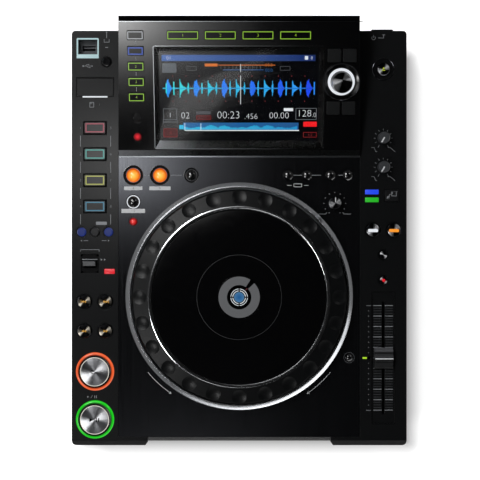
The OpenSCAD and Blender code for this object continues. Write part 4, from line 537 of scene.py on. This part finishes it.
# radius, top, the painted highlight and shade colours, and the direction that the painted bright sectors face
shine = {"transport": (13.2, 3.2, "#d0d1d4", "#77787b", 24), "seek": (6.1, 1.8, "#b3ada0", "#0c0c0d", 12),
         "sync": (6.1, 1.8, "#c4c5c8", "#0c0c0d", 45), "eject": (5.6, 1.8, "#b3b4b6", "#0c0c0d", 32),
         "tempo": (3.5, 1.8, "#c4c5c8", "#0c0c0d", 140)}
caps = {
    # name: key, shine, middle
    "playCap": ("play_button", "transport", -stripX, playY),
    "cueCap": ("cue_button", "transport", -stripX, cueY),
    "trackCap0": ("track_keys", "seek", -147.7, -64.4),
    "trackCap1": ("track_keys", "seek", -127.7, -64.4),
    "searchCap0": ("search_keys", "seek", -147.7, -92.5),
    "searchCap1": ("search_keys", "seek", -127.7, -92.5),
    "syncCap0": ("sync_keys", "sync", 127.7, 3.9),
    "syncCap1": ("sync_keys", "sync", 147.7, 3.9),
    "ejectCap": ("eject_button", "eject", stripX, 157.4),
    "rangeCap": ("tempo_keys", "tempo", stripX, -19.8),
    "masterTempoCap": ("tempo_keys", "tempo", stripX, -44.1),
}
for name, (rides, kind, x, y) in caps.items():
    r, top, bright, dark, paintedHighlightAngle = shine[kind]
    dish = 0.05 if r < 10 else 0.14
    profile = [(0, -0.1), (r, -0.1), (r, 0.02), (r - 0.45, 0.2), (r * 0.5, dish), (0, dish * 0.8)]
    # each cap's metal has a painted highlight wedge along its highlight line
    metal = spun("spun" + name[0].upper() + name[1:], bright, dark, x, y, paintedHighlightAngle)
    piece(name, [put(turned(profile, 96), x, y, top)], metal, rides, sharp=60)
wellProfile = [(9.7, 0), (10.6, 0), (10.5, 0.25), (10.1, 0.35), (9.7, 0.1)]
piece("ejectWellRing", [put(turned(wellProfile, 72), stripX, 157.4)], smokedChrome)
print("caps made")

# screen: everything lies on the panel, under the glass

lcd = {"w": 150.4, "d": 82.2, "v": 9, "panel": -2.5, "beat": 6.6, "pitch": 0.55}
inkZ = -2.3


def onScreen(x, y):
    # from the picture's upper left corner, down the slope
    return x - lcd["w"] / 2, lcd["v"] + lcd["d"] - y


def box(x0, y0, x1, y1, z=0.0, h=0.05, corner=0.3):
    cx, cy = onScreen((x0 + x1) / 2, (y0 + y1) / 2)
    return put(slab(x1 - x0, y1 - y0, h, corner), cx, cy, inkZ + z)


def outline(x0, y0, x1, y1, rim=0.45, z=0.0):
    cx, cy = onScreen((x0 + x1) / 2, (y0 + y1) / 2)
    return put(border(x1 - x0, y1 - y0, rim, 0.05, 0.6), cx, cy, inkZ + z)


def number(text, size, x, y, z=0.06):
    return digits(text, size, *onScreen(x, y), inkZ + z)


def screenPiece(name, shapes, material):
    return piece(name, shapes, material, base=slopeFrame)


def glowing(name, shapes, material, colour, strength):
    return screenPiece(name, shapes, lit(material, colour, strength))


def alongScreen(name, left, right, strength=1.0):
    # a lit colour that changes across the picture
    material = lit(name, left, strength, "#05070c")
    return faded(material, 0, -70, 140, [(0, left), (1, right)], "Emission Color")


screenPiece("panelGround", [put(slab(150, 81.8, 0.2, 0.4), 0, lcd["v"] + lcd["d"] / 2, lcd["panel"])],
            newMaterial("displayFilm", "#020203", roughness=0.08, ior=1.6, emissionColor="#06070a",
                        emissionStrength=0.6))
# the header bar's glow carries a painted sheen: paler blue at the left, darker to the right
screenPiece("headerBar", [box(2.9, 2, 146.4, 7.6)], alongScreen("litHeaderBluePaintedSheen", "#3a62a8", "#0a2663", 0.9))
glowing("modeBox", [box(3.2, 9.6, 16.4, 18.4, 0, 0.05, 1)], "litBoxGrey", "#565c62", 0.8)
glowing("orangeScale", [box(43, 10, 55, 12.6)] + [box(55.5, 11.1, 109, 11.7)]
        + [number("00.0", 4.2, 103, 11.4)], "litScaleOrange", "#d8701e", 0.9)
glowing("blueScale", [box(60, 15.6, 98, 16)] + [number("00.0", 4.2, 103, 16.2)], "litScaleBlue", "#1f66a8",
        0.9)
glowing("scaleTicks", [box(58 + i * 3.7, 12.2, 58.3 + i * 3.7, 15.2) for i in range(11)], "litTickGrey",
        "#5d6266", 0.7)
glowing("pills", [outline(26, 12.4, 35.4, 16.4), outline(113.5, 12.4, 123, 16.4)], "litPillGrey", "#4c5054",
        0.7)
draw = random.Random(11)
waveBlue, waveCyan = [], []
x = 3.4
while x < 146:
    beat = (x - 6) / lcd["beat"]
    part, along = int(beat) % 4, beat % 1
    swells = (8.0 * math.exp(-((along - 0.3) / 0.36) ** 2), 7.4 * math.exp(-((along - 0.15) / 0.09) ** 2),
              8.2 * math.exp(-along / 0.36), 6.4 * math.exp(-((along - 0.2) / 0.1) ** 2))
    swell = swells[part if x > 6 else 1]
    high = max(0.5, swell * draw.uniform(0.8, 1.16))
    bars = waveCyan if part in (1, 2, 3) or x < 7 else waveBlue
    bars.append(box(x, 33 - high, x + 0.5, 33 + high, 0, 0.05, 0))
    x += lcd["pitch"]
screenPiece("waveBlue", waveBlue, alongScreen("litWaveBlue", "#1490f4", "#1b44ee"))
screenPiece("waveCyan", waveCyan, alongScreen("litWaveCyan", "#28dcdc", "#2a8cf4"))
screenPiece("waveLine", [box(3.4, 32.7, 147, 33.3, 0.01)],
            alongScreen("litWaveLine", "#1fa8e8", "#1a50c8", 0.8))
glowing("beatMarks", [box(12.5 + 12.4 * i, y, 13.2 + 12.4 * i, y + 1.1) for i in range(11)
                      for y in (21, 44.5)], "litMarkRed", "#8a2f34", 0.8)
glowing("waveCursor", [box(76.2, 10.4, 76.9, 18, 0.06), box(76.2, 21, 76.9, 48, 0.06)], "litCursorWhite",
        "#c9cdd0", 0.9)
glowing("readings", [number("1", 6.6, 10, 58.4), number("02", 8.6, 24.4, 58.8),
                     number("00:23", 10, 65.2, 58.4), number(".456", 7.6, 86.4, 59.6),
                     number("00.00", 8.6, 113, 58.8), number("128", 9.4, 136.8, 56.8),
                     number(".0", 6, 146, 58.2), number("01", 5, 9.5, 4.8), number("8", 4.4, 143, 4.8),
                     box(136.5, 3, 139.6, 6.4, 0.06), box(117.4, 51.6, 126.2, 54.4)], "litFigureWhite",
        "#e2e6ea", 0.95)
glowing("readingBoxes", [outline(3.4, 52, 16.4, 62.6), outline(128.6, 51.6, 148.4, 62.6),
                         outline(3.4, 64.2, 16.4, 65.2, 0.3)], "litBoxLine", "#6c7176", 0.8)
glowing("greyPill", [box(34.6, 54.6, 48.6, 57.4)], "litPillFill", "#4a4c50", 0.8)
glowing("redBoxes", [outline(34.6, 58.6, 48.6, 62.6), outline(3.4, 71, 16.4, 79.2, 0.7),
                     outline(136, 74.4, 148.8, 79.4)], "litBoxRed", "#8c1418", 0.8)
glowing("redGrounds", [box(3.8, 71.4, 16, 78.8), box(35, 59, 48.2, 62.2)], "litGroundRed", "#4c0c10", 0.7)
glowing("redKey", [box(136, 64.4, 148.8, 69.2, 0, 0.05, 0.8)], "litKeyRed", "#f0121c", 0.95)
glowing("redNumbers", [number("4", 5, 10, 75.2), number("1/2", 3.6, 142.4, 77)], "litNumberRed", "#b0201c",
        0.8)
screenPiece("overview", [box(22, 65.4, 131.4, 72)], alongScreen("litOverviewBlue", "#1465a4", "#12508c", 0.9))
overview = [box(18.4, 67.6, 22.6, 71.6, 0.03)]
x = 23.0
while x < 130:
    high = 1.2 + 2.6 * abs(math.sin(x * 0.23) * math.sin(x * 0.071 + 1)) + draw.uniform(0, 0.9)
    overview.append(box(x, 72 - high, x + 0.75, 72, 0.06, 0.05, 0))
    x += 0.8
screenPiece("overviewWave", overview, alongScreen("litOverviewCyan", "#30c4e8", "#2090d0", 0.9))
glowing("overviewLine", [box(24, 72.3, 132, 73.2, 0.06)], "litOverviewWhite", "#e8ecee", 0.95)
screenPiece("overviewNeedle", [box(38.6, 66, 39.2, 72.2, 0.1), box(23.4, 65.6, 24, 73, 0.1)], litWhite)
print("screen drawn")

# screen surround: thin glass over a bevelled mask

surround = {"w": 159.3, "d": 95.7, "v": 49.35, "side": 4.3, "front": 7.4, "outerZ": -0.42, "innerZ": -1.15,
            "back": -1.2}
mask, opening = openFrame(surround["w"], surround["d"], surround["side"])
for v in opening:
    v.co.y += surround["front"] - surround["side"] if v.co.y < 0 else 0
    v.co.z = surround["innerZ"] - surround["outerZ"]
for v in thicken(mask):
    v.co.z = surround["back"] - surround["outerZ"]
# the slope along the front has the second material, the lacquer with the painted sheen
centres = [(f.calc_center_median(), f) for f in mask.faces]
slopes = [(c.y, f) for c, f in centres if c.z > -0.6 and abs(c.y) < surround["d"] / 2 - 1]
min(slopes, key=lambda slope: slope[0])[1].material_index = 1
# lacquered frame: its slopes catch the window and go grey
bevelMask = grained("blackLacquer", "#060607", 2, 0.002, (0.2, 0.26), specularIorLevel=0.2)


def paintedSheenLacquer(name, start, length, stops):
    # lacquer with a painted sheen, pewter at the left fading to black at the right
    return faded(grained(name, "#0c0d0f", 2, 0.002, (0.25, 0.32), specularIorLevel=0.2), 0, start, length,
                 stops)


# painted sheen on the mask's front slope
paintedSheenFront = paintedSheenLacquer("paintedSheenLacquer", -80, 100, [(0, "#8c8e91"), (0.42, "#2c2d2f"), (0.75, "#060707")])
# a hairline of metal with a painted reflection: bright at the left, fading to near black towards the right
paintedSheenLine = newMaterial("trimLinePaintedSheen", "#9a9da0", metallic=0.9, roughness=0.35)
faded(paintedSheenLine, 0, -115, 182, [(0.1, "#a4a7aa"), (0.95, "#161617")])
screenMask = piece("screenMask", [put(mask, 0, surround["v"], surround["outerZ"])], bevelMask,
                   base=slopeFrame)
screenMask.data.materials.append(paintedSheenFront)
piece("coverGlass", [put(slab(159.3, 95.7, 0.36, 1.5), 0, surround["v"], -0.38)], coverGlass,
      base=slopeFrame, replaced=["display_glass"])
collarProfile = [(16.45, 2.22), (16.95, 1.84), (17.35, 1.52), (17.35, 1.4), (16.4, 2.1)]
rims = [("glassRim", put(border(160.5, 96.9, 0.55, 0.1, 1.8), 0, surround["v"]), paintedSheenLine),
        ("blockTopLine", put(slab(229, 0.6, 0.12), 0, 119.9), paintedSheenLine),
        ("collarRim", put(turned(collarProfile, 96), selectorX, selectorV), smokedChrome)]
for name, shape, metal in rims:
    piece(name, [shape], metal, base=slopeFrame)
# painted sheen on the lip along the block's foot: grey at the left, fading to black at the right
paintedSheenLip = paintedSheenLacquer("lipLacquerPaintedSheen", -115, 80, [(0, "#6b6d70"), (0.5, "#46484a"), (0.95, "#060707")])
piece("blockLip", [put(slab(229.4, 5, 0.05), 0, 2.62)], paintedSheenLip, base=lipFrame)
# polished bar that runs along the foot of the block
trimBar = grained("satinTrimBar", "#808387", 1, 0.002, (0.28, 0.36), metallic=0.95)
piece("blockTrim", [put(slab(230.2, 1.6, 0.5, 0, 0.2), 0, 74.1)], trimBar)
print("surround made")

# keys: lit outlines, prints and liners

def slopeKey(name, shapes, material, rides):
    return piece(name, shapes, material, rides, slopeFrame)


hotCues = {"y": (101.4, 76.4, 51.4, 26.4),
           "colours": ("#9c2340", "#2f9c92", "#a8aa38", "#2a7896"),
           "grounds": ("#1c0d10", "#0c1c1b", "#1c1c0c", "#0b1a20")}
for i, y in enumerate(hotCues["y"]):
    node, mark, colour = "hot_cue_" + "abcd"[i], str(i + 1), hotCues["colours"][i]
    lamp("hotCueOutline" + mark, [put(border(17.4, 8.4, 0.85, 0.08, 0.6), -stripX, y, keyTop)],
         lit("litHotCue" + mark, colour, 0.85), node)
    # painted shade round the key
    piece("hotCueWell" + mark, [put(border(22.5, 13.1, 1.3, 0.06, 0.1), -stripX, y, -1)], paintedShadeBlack)
    piece("hotCueEdge" + mark, [put(border(19.3, 9.9, 0.9, 0.06, 0.5), -stripX, y, keyTop)],
          lit("litHotCueEdge" + mark, colour, 0.12, hotCues["grounds"][i]), node)
sourceV = (topRow, 93.1, 78.8, 64.5, 50.2)
limeLine = lit("litLimeLine", "#8cbe30")
# smoked acrylic over the unlit part of a key
keyWindow = grained("smokedKeyWindow", "#040505", 2, 0.001, (0.16, 0.22), specularIorLevel=0.2)
blueLine = lit("litBlueLine", "#1440a0")
whiteLine = lit("litWhiteLine", "#b9bdc2", 0.85)


def outlinedKey(kind, i, x, v, w, d, rim, glow):
    # a lit outline round a dark window, on the key's top
    rides = kind + "_keys"
    slopeKey(kind + "Outline" + str(i + 1), [put(border(w, d, rim, 0.08, 0.6), x, v, keyTop)],
             glow, rides)
    slopeKey(kind + "Window" + str(i + 1), [put(slab(w - 0.8, d - 0.8, 0.04), x, v, keyTop)],
             keyWindow, rides)


for i, (v, glow) in enumerate(zip(sourceV, (whiteLine, blueLine, limeLine, limeLine, limeLine))):
    outlinedKey("source", i, sourceX, v, 14, 7, 1.2 if i == 1 else 0.7, glow)
piece("sourceLinks", [line(sourceX, v - 5.4, sourceX, v - 8.6, 0.5) for v in sourceV[:4]], printGrey,
      base=slopeFrame)
for i, x in enumerate(menuX):
    outlinedKey("menu", i, x, topRow, 28.3, 7.1, 0.7, limeLine)
# plain numbers in the colour of the outlines
slopeKey("sourceMarks", [digits(t, 3.4, sourceX, v, keyTop) for t, v in zip("234", sourceV[2:])], litLime,
         "source_keys")
slopeKey("menuMarks", [digits(t, 4, x, topRow, keyTop) for t, x in zip("1234", menuX)], litLime,
         "menu_keys")

# middle, then the key's radius and the well's
wells = [(loopInX, loopY, 6.7, 9.25), (loopOutX, loopY, 6.7, 9.25), (-45.7, loopY, 5.3, 6.95),
         (loopInX, 30.9, 5.3, 6.95)]
# painted shade in the wells' bottoms
piece("deckWells", [put(ring(a + 0.3, b, 0.1), x, y, -1) for x, y, a, b in wells], paintedShadeBlack)
piece("deckWellEdges",
      [put(turned([(b - 0.05, -1), (b, -1), (b + 0.35, 0.12), (b + 0.1, 0.16), (b - 0.1, 0.02)], 72), x, y)
       for x, y, a, b in wells[:3]], glossCap)
lamp("beatLoopRing", [put(ring(5.5, 6.3, 0.12), loopInX, 30.9, -0.88)], litWhite)

# middle, width, depth and the plain number in it
labels = [(loopInX, 43.8, 17.5, 3.6, "4"), (loopOutX, 43.8, 20.4, 3.6, "8"), (loopInX, 22.2, 22.5, 4, "1/2")]
piece("labelBoxes", [put(slab(w, d, 0.05, 0.6), x, y) for x, y, w, d, figure in labels], printWhite)
piece("labelFigures", [digits(figure, 3, x, y, 0.05) for x, y, w, d, figure in labels], inkBlack)
rowLines = [(-91.2, -86), (-65.4, -55), (51.2, 60), (68.8, 78), (95, 99.4)]
piece("deckLines", [line(x0, loopY, x1, loopY, 0.5) for x0, x1 in rowLines], printGrey)
piece("callBox", [put(border(8, 3.4, 0.5, 0.05, 0.8), 56, 46.6), line(46, 46.6, 50, 46.6, 0.4),
                  line(62, 46.6, 66, 46.6, 0.4)], printWhite)
adjustDots = [put(disc(0.42, 0.05, 12), *around(adjustX, adjustY, 10.4, a)) for a in range(-60, 241, 30)]
piece("adjustScale", adjustDots + [stroke([(83.6, 20.6), (82.6, 19.2), (76, 19.2)], 0.4),
                                   stroke([(99, 20.6), (100, 19.2), (106.6, 19.2)], 0.4)], printGrey)
piece("adjustPointer", [put(slab(0.9, 4.6, 0.12), adjustX, 32.4, 9.3)], printWhite, "jog_adjust_knob")
for name, side in (("turnArcLeft", -1), ("turnArcRight", 1)):
    tip = 270 + side * 35.5
    arc = put(ring(113.3, 113.8, 0.05, 24, tip if side > 0 else tip - 14.7, 14.7), 0, jogY)
    piece(name, [arc, arrow(1.5, *around(0, jogY, 113.55, tip), tip - side * 90)], printWhite)
print("deck printed")

# left strip
sidesX = (-151.6, -122.8)
piece("hotCueBrackets", [line(x, y - 7.6, x, y - 17.4, 0.5) for x in sidesX for y in hotCues["y"][:3]]
      + [line(x, 18.6, x, 9.6, 0.5) for x in sidesX], printGrey)
piece("hotCueNumbers", [digits(str(i + first), 3.4, x, y) for first, x in zip((1, 5), sidesX)
                        for i, y in enumerate(hotCues["y"])], printGrey)
lamp("sdLine", [put(slab(23.8, 1.3, 0.25, 0.4, 0.1), -stripX, 131.2)], litWhite)
# painted shade in the gap round the card door
piece("sdEdge", [put(border(36.4, 18.8, 0.75, 0.06, 0.6), -stripX, 140.6)], paintedShadeBlack)
piece("sdSign", [put(border(4.2, 5, 0.45, 0.05, 0.3), -140.8, 123.6), line(-142, 124.4, -142, 125.2, 0.4),
                 line(-140.8, 124.4, -140.8, 125.2, 0.4), digits("1", 3, -133.5, 123.6)], printGrey)
piece("usbSign", [put(disc(0.8, 0.05, 16), -149, 160.6), line(-148.6, 160.6, -141, 160.6, 0.4),
                  arrow(0.9, -140.4, 160.6, 0), stroke([(-147, 160.6), (-145.6, 162), (-144, 162)], 0.35),
                  stroke([(-145.6, 160.6), (-144.2, 159.2), (-142.8, 159.2)], 0.35),
                  put(disc(0.5, 0.05, 12), -143.8, 162), put(slab(0.9, 0.9, 0.05), -142.6, 159.2)], printGrey)
piece("usbStopSign", [line(-126.6, 187.6, -126.6, 192.4, 0.5), arrow(1.1, -126.6, 193.2, 90),
                      stroke([(-129, 186), (-129, 183.4), (-124.2, 183.4), (-124.2, 186)], 0.45),
                      line(-127.6, 178.4, -125.6, 178.4, 0.6)], printGrey)
# painted shade round the stop key
piece("usbStopWell", [put(ring(4.35, 5.3, 0.06), -126.6, 164.6)], paintedShadeBlack)
piece("bankSigns", [arrow(0.9, -150.6, -6.2, 180), arrow(0.9, -124.8, -6.2, 0),
                    line(-148.4, -6.2, -144.4, -6.2, 0.4), line(-131, -6.2, -127, -6.2, 0.4)]
      + [put(slab(10.4, 3, 0.05, 0.6), -131.6, 10.4)], printGrey)
piece("directionSigns", [stroke([(-151.6, -16.4), (-151.6, -14.8), (-133.8, -14.8), (-133.8, -16.4)], 0.4),
                         arrow(1.1, -128.6, -24.4, 0), arrow(1.1, -131.6, -24.4, 0)], printGrey)
lever = {"x": -142.8, "y": -28.2}
# painted shade in the lever's well
piece("leverWell", [put(border(17, 18.2, 2, 0.06, 0.2), lever["x"], lever["y"], -1)]
      + [put(slab(13.1, 3.4, 0.06), lever["x"], lever["y"] + side * 5.5, -1) for side in (-1, 1)], paintedShadeBlack)
piece("leverPlate", [put(slab(14.4, 0.9, 0.1), lever["x"], -24.2, -0.94)], printGrey)
# a grey band across the lever's top, paler than the key round it
leverTopBand = grained("leverBandAbs", "#4a4b4d", 0.5, 0.004, (0.4, 0.5))
piece("leverLine", [put(slab(11.4, 4.2, 0.08), lever["x"], -28, 5)], leverTopBand, "direction_lever")
for rides, y in (("track_keys", -64.4), ("search_keys", -92.5)):
    signs = []
    for side in (-1, 1):
        x = -stripX + side * 10
        signs += [arrow(1.5, x - side * 1.0, y, 90 - side * 90, 1.9, 0.1),
                  arrow(1.5, x + side * 1.2, y, 90 - side * 90, 1.9, 0.1)]
        if rides == "track_keys":
            signs.append(line(x + side * 3, y - 1.4, x + side * 3, y + 1.4, 0.5, 0.1, 1.9))
    piece(rides.split("_")[0] + "Signs", signs, printAmberPaintedGlow, rides)
piece("stripSigns", [arrow(1.1, -144.6, -155.4, 0), line(-141.6, -156.4, -140.2, -154.2, 0.4),
                     line(-138, -156.4, -138, -154.4, 0.6), line(-136.4, -156.4, -136.4, -154.4, 0.6)],
      printGrey)
capTop = 3.36
piece("playSigns", [arrow(2.2, -141.4, playY, 0, capTop, 0.06)]
      + [line(x, -178.4, x, -175.6, 0.9, 0.06, capTop) for x in (-136, -133.8)], inkBlack, "play_button")
piece("cueSigns", [put(ring(1.0, 1.6, 0.06, 24, 45, 270), -139.9, cueY, capTop)], inkBlack, "cue_button")
print("left strip printed")

# right strip
piece("powerSign", [put(ring(1.5, 1.95, 0.05, 24, 130, 280), 128.4, 187.4),
                    line(128.4, 187.6, 128.4, 190, 0.4),
                    stroke([(133, 187.4), (138, 187.4), (138, 190.4)], 0.45),
                    line(137, 190.4, 139, 190.4, 0.5)], printGrey)
lamp("ejectSigns", [arrow(1.3, stripX, 158, 90, 1.98, 0.1), line(136.5, 156.2, 138.9, 156.2, 0.6, 0.1, 1.98)],
     lit("litEjectLime", "#c6d832", 0.8), "eject_button")
# painted shade in the eject key's well
piece("ejectWell", [put(ring(6.4, 9.7, 0.08), stripX, 157.4, -1)], paintedShadeBlack)
for rides, y in (("touch_speed_knob", 91.7), ("release_speed_knob", 63.9)):
    name = rides.split("_")[0]
    piece(name + "Pointer", [spoke(stripX, y, 0.6, 5, 240, 1.3, 0.1, 9.3)], printWhite, rides)
    piece(name + "Scale", [spoke(stripX, y, 7.6, 8.8, a, 0.35) for a in range(-60, 241, 30)]
          + [spoke(stripX, y, 8.4, 10, a, 0.5) for a in (-60, 240)]
          + [stroke([(126.4, y - 9), (129, y - 9), (130.4, y - 12.8), (131.6, y - 12.8)], 0.35),
             stroke([(142, y - 9), (144.4, y - 9), (148.8, y - 12.8)], 0.35)], printGrey)
steps = [(140.9, 34), (143.2, 34), (143.2, 38), (146, 38), (146, 40.4), (150.4, 40.4)]
piece("jogModeSigns", [stroke(steps, 0.6, 0.06, 1.8), put(disc(1.5, 0.06), 142.3, 35, 1.8),
                       put(border(5, 4.4, 0.5, 0.06, 0.5), 147.6, 38.4, 1.8)], printGrey, "jog_mode_button")
for name, x, glow in (("syncBar", 127.7, litWhite), ("masterBar", 147.7, litOrange)):
    lamp(name, [put(slab(9.6, 3, 0.2, 1, 0.1), x, 3.4, 1.96)], glow, "sync_keys")
# painted shade in the gaps round the sync keys
piece("syncWells", [put(border(16, 16, 0.1, 0.04, 7.9), x, 3.9) for x in (127.7, 147.7)], paintedShadeBlack)
lamp("masterTempoLens", [put(turned([(0, 0), (1.5, 0), (1.2, 0.4), (0, 0.6)], 32), stripX, -44.1, 2.6)],
     litRed, "tempo_keys")


def faderTick(side, travel, width, h, z):
    # a line of the scale on one side of the slot, at a travel from the middle
    return line(stripX + side * 1.9, faderY + travel, stripX + side * 9, faderY + travel, width, h, z)


piece("faderScale", [faderTick(side, t * 2.5, 0.6 if t % 4 == 0 else 0.4, 0.05, -0.98)
                     for side in (-1, 1) for t in range(-20, 21)], printFaint)
piece("faderTens", [faderTick(side, t * 10, 0.7, 0.08, -0.98) for side in (-1, 1) for t in range(-5, 6)],
      printGrey)
piece("faderDots", [put(disc(0.4, 0.05, 10), 123.6, faderY + t * 5) for t in range(-10, 11) if t]
      + [line(121.6, faderY + t * 50, 125.6, faderY + t * 50, 0.4) for t in (-1, 1)], printGrey)
# painted shade along the fader's recess
piece("faderRim", [put(border(22.5, 126.7, 0.7, 0.06, 1), stripX, faderY)], paintedShadeBlack)
piece("faderKnobLine", [put(slab(17.3, 1.3, 0.1), stripX, faderY, 7)], printWhite, "tempo_knob")
piece("tempoResetWell", [put(ring(4.7, 5.2, 0.06), 105, -118)], printFaint)
print("right strip printed")

# studio

def wall(x0, y0, x1, y1, low, high):
    # corners of an upright card
    return [(x0, y0, low), (x1, y1, low), (x1, y1, high), (x0, y0, high)]


def level(height, *corners):
    # corners of a card that lies level
    return [(x, y, height) for x, y in corners]


studio = {
    "eye": (0.0008, -0.0056, 1.08), "lens": 78.5, "sensor": 36,
    # name: place, aim, width, depth, watts
    "lamps": {
        "topLeftSoftbox": ((-0.85, 0.85, 1.7), (0, 0, 0.05), 0.7, 0.7, 18),
        "capLight": ((-1.1, -0.8, 1.9), (-0.1, -0.15, 0.08), 0.6, 0.4, 12),
        "topRight": ((0.9, 0.75, 1.1), (0, 0, 0.1), 0.3, 0.3, 1.5),
    },
    "horizon": 0.3, "zenith": 0.006, "paperGlow": 0.9, "mirroredGlow": 0.6,
    # the soft shadow painted beside the feet: middle and half sizes of its core, then how far in and out it
    # fades
    "shadow": ((0.009, -0.016), (0.164, 0.197), -0.0106, 0.0154),
    # cards of light that only mirrors find: corners, brightest point, level there, and the distance along
    # each axis that takes it down to a third
    "cards": {
        "window": (level(3.2, (-0.45, -0.85), (0.15, -0.85), (-0.3, -1.3), (-0.45, -1.3)),
                   (-0.3, -0.85, 3.2), 2.4, (0.4, 0.4, 0.4)),
        "patchCard": (level(0.45, (-0.23, -0.075), (-0.115, -0.075), (-0.085, 0), (0.02, 0.045), (0.02, 0.16),
                            (-0.23, 0.16)), (-0.156, 0.1, 0.45), 19, (0.044, 0.026, 1)),
        "frontCard": (wall(-0.6, -1.15, 1.05, -0.3, 0.1, 0.36), (0.1, -0.75, 0.2), 4.2, (0.9, 0.9, 0.9)),
        "backCard": (wall(-0.98, 0.35, -0.3, 0.95, 0.1, 0.33), (-0.64, 0.65, 0.2), 0.45, (0.35, 0.35, 0.35)),
    },
    # dark cards that keep the pale paper out of the ends' bevels: how far out, and how high
    "flags": {"frontFlag": -0.33, "backFlag": 0.33}, "flagHigh": 0.12,
}
scene = bpy.context.scene
camera = bpy.data.cameras.new("camera")
camera.lens, camera.sensor_width, camera.clip_start = studio["lens"], studio["sensor"], 0.01
eye = placed("camera", camera)
eye.location = studio["eye"]
scene.camera = eye
for name, (place, aim, width, depth, watts) in studio["lamps"].items():
    light = bpy.data.lights.new(name, "AREA")
    light.shape, light.size, light.size_y, light.energy = "RECTANGLE", width, depth, watts
    holder = placed(name, light)
    holder.location = place
    holder.rotation_euler = (Vector(aim) - Vector(place)).to_track_quat("-Z", "Y").to_euler()
    holder.visible_camera = False


def stageObject(name, shape, material):
    mesh = meshFrom(name, shape)
    mesh.materials.append(material)
    made = placed(name, mesh)
    return made


def stageCard(name, corners, material):
    # a flat card of the studio, which only mirrors see
    shape = bmesh.new()
    shape.faces.new([shape.verts.new(c) for c in corners])
    card = stageObject(name, shape, material)
    card.visible_camera = card.visible_diffuse = card.visible_shadow = False


def diffuser(name, middle, brightest, spread):
    # frosted sheet over a lamp: brightest over the lamp, fading steadily
    material = newMaterial(name, "#000000", specularIorLevel=0.0, emissionColor="#ffffff")
    tree = material.node_tree
    point = objectPoint(tree, [m * 1000 for m in middle], [1 / reach for reach in spread])
    away = addNode(tree, "ShaderNodeVectorMath", {"operation": "LENGTH"}, {0: (point, 0)})
    fall = addNode(tree, "ShaderNodeMath", {"operation": "MULTIPLY", 1: -1}, {0: (away, 1)})
    bell = addNode(tree, "ShaderNodeMath", {"operation": "EXPONENT"}, {0: (fall, 0)})
    level = addNode(tree, "ShaderNodeMath", {"operation": "MULTIPLY", 1: brightest}, {0: (bell, 0)})
    feed(tree, level, "Emission Strength")
    return material


def paperSky():
    # white walls that dim towards the zenith; the camera sees them at full level
    sky = bpy.data.worlds.new("studioSky")
    sky.use_nodes = True
    tree = sky.node_tree
    direction = addNode(tree, "ShaderNodeSeparateXYZ", {},
                        {0: (addNode(tree, "ShaderNodeTexCoord"), "Generated")})
    dimmed = addNode(tree, "ShaderNodeMapRange", {"From Min": 0.0, "From Max": 0.8,
                                                  "To Min": studio["horizon"], "To Max": studio["zenith"]},
                     {"Value": (direction, 2)})
    seen = addNode(tree, "ShaderNodeMath", {"operation": "MAXIMUM"},
                   {0: (dimmed, 0), 1: (addNode(tree, "ShaderNodeLightPath"), "Is Camera Ray")})
    tree.links.new(seen.outputs[0], tree.nodes["Background"].inputs["Strength"])
    tree.nodes["Background"].inputs["Color"].default_value = (1, 1, 1, 1)
    return sky


def paperSweep():
    # seamless paper: matt white, with a soft shadow painted into its colour and glow
    material = newMaterial("paperSweep", "#f2f2f2", roughness=0.9, emissionColor="#ffffff")
    tree = material.node_tree
    path = addNode(tree, "ShaderNodeLightPath")
    shown = addNode(tree, "ShaderNodeMath", {"operation": "MAXIMUM"},
                    {0: (path, "Is Camera Ray"), 1: (path, "Is Transmission Ray")})
    mirrored = addNode(tree, "ShaderNodeMath", {"operation": "MULTIPLY", 1: studio["mirroredGlow"]},
                       {0: (path, "Is Glossy Ray")})
    glow = addNode(tree, "ShaderNodeMath", {"operation": "MULTIPLY_ADD", 1: studio["paperGlow"]},
                   {0: (shown, 0), 2: (mirrored, 0)})
    middle, half, inner, outer = studio["shadow"]
    away = objectPoint(tree, (middle[0] * 1000, middle[1] * 1000, 0))
    away = addNode(tree, "ShaderNodeVectorMath", {"operation": "ABSOLUTE"}, {0: (away, 0)})
    away = addNode(tree, "ShaderNodeVectorMath", {"operation": "SUBTRACT", 1: (*half, 1)}, {0: (away, 0)})
    away = addNode(tree, "ShaderNodeVectorMath", {"operation": "MAXIMUM", 1: (0, 0, 0)}, {0: (away, 0)})
    away = addNode(tree, "ShaderNodeVectorMath", {"operation": "LENGTH"}, {0: (away, 0)})
    clear = addNode(tree, "ShaderNodeMapRange", {"From Min": inner, "From Max": outer}, {"Value": (away, 1)})
    shade = addNode(tree, "ShaderNodeMix", {"data_type": "RGBA", 6: hexColour("#000000"),
                                            7: hexColour("#f2f2f2")}, {0: (clear, 0)})
    feed(tree, shade, "Base Color", 2)
    shine = addNode(tree, "ShaderNodeMath", {"operation": "MULTIPLY"}, {0: (glow, 0), 1: (clear, 0)})
    feed(tree, shine, "Emission Strength")
    return material


for name, (corners, middle, brightest, spread) in studio["cards"].items():
    stageCard(name, corners, diffuser(name + "Diffuser", middle, brightest, spread))
# black cloth that gives back nothing
flock = newMaterial("blackFlock", "#000000", specularIorLevel=0.0, roughness=1)
for name, y in studio["flags"].items():
    stageCard(name, wall(-0.7, y, 0.7, y, 0.001, studio["flagHigh"]), flock)
scene.world = paperSky()
floorShape = bmesh.new()
bmesh.ops.create_grid(floorShape, x_segments=4, y_segments=4, size=4)
stageObject("floor", floorShape, paperSweep())
scene.view_settings.view_transform = "Standard"
print("studio set")
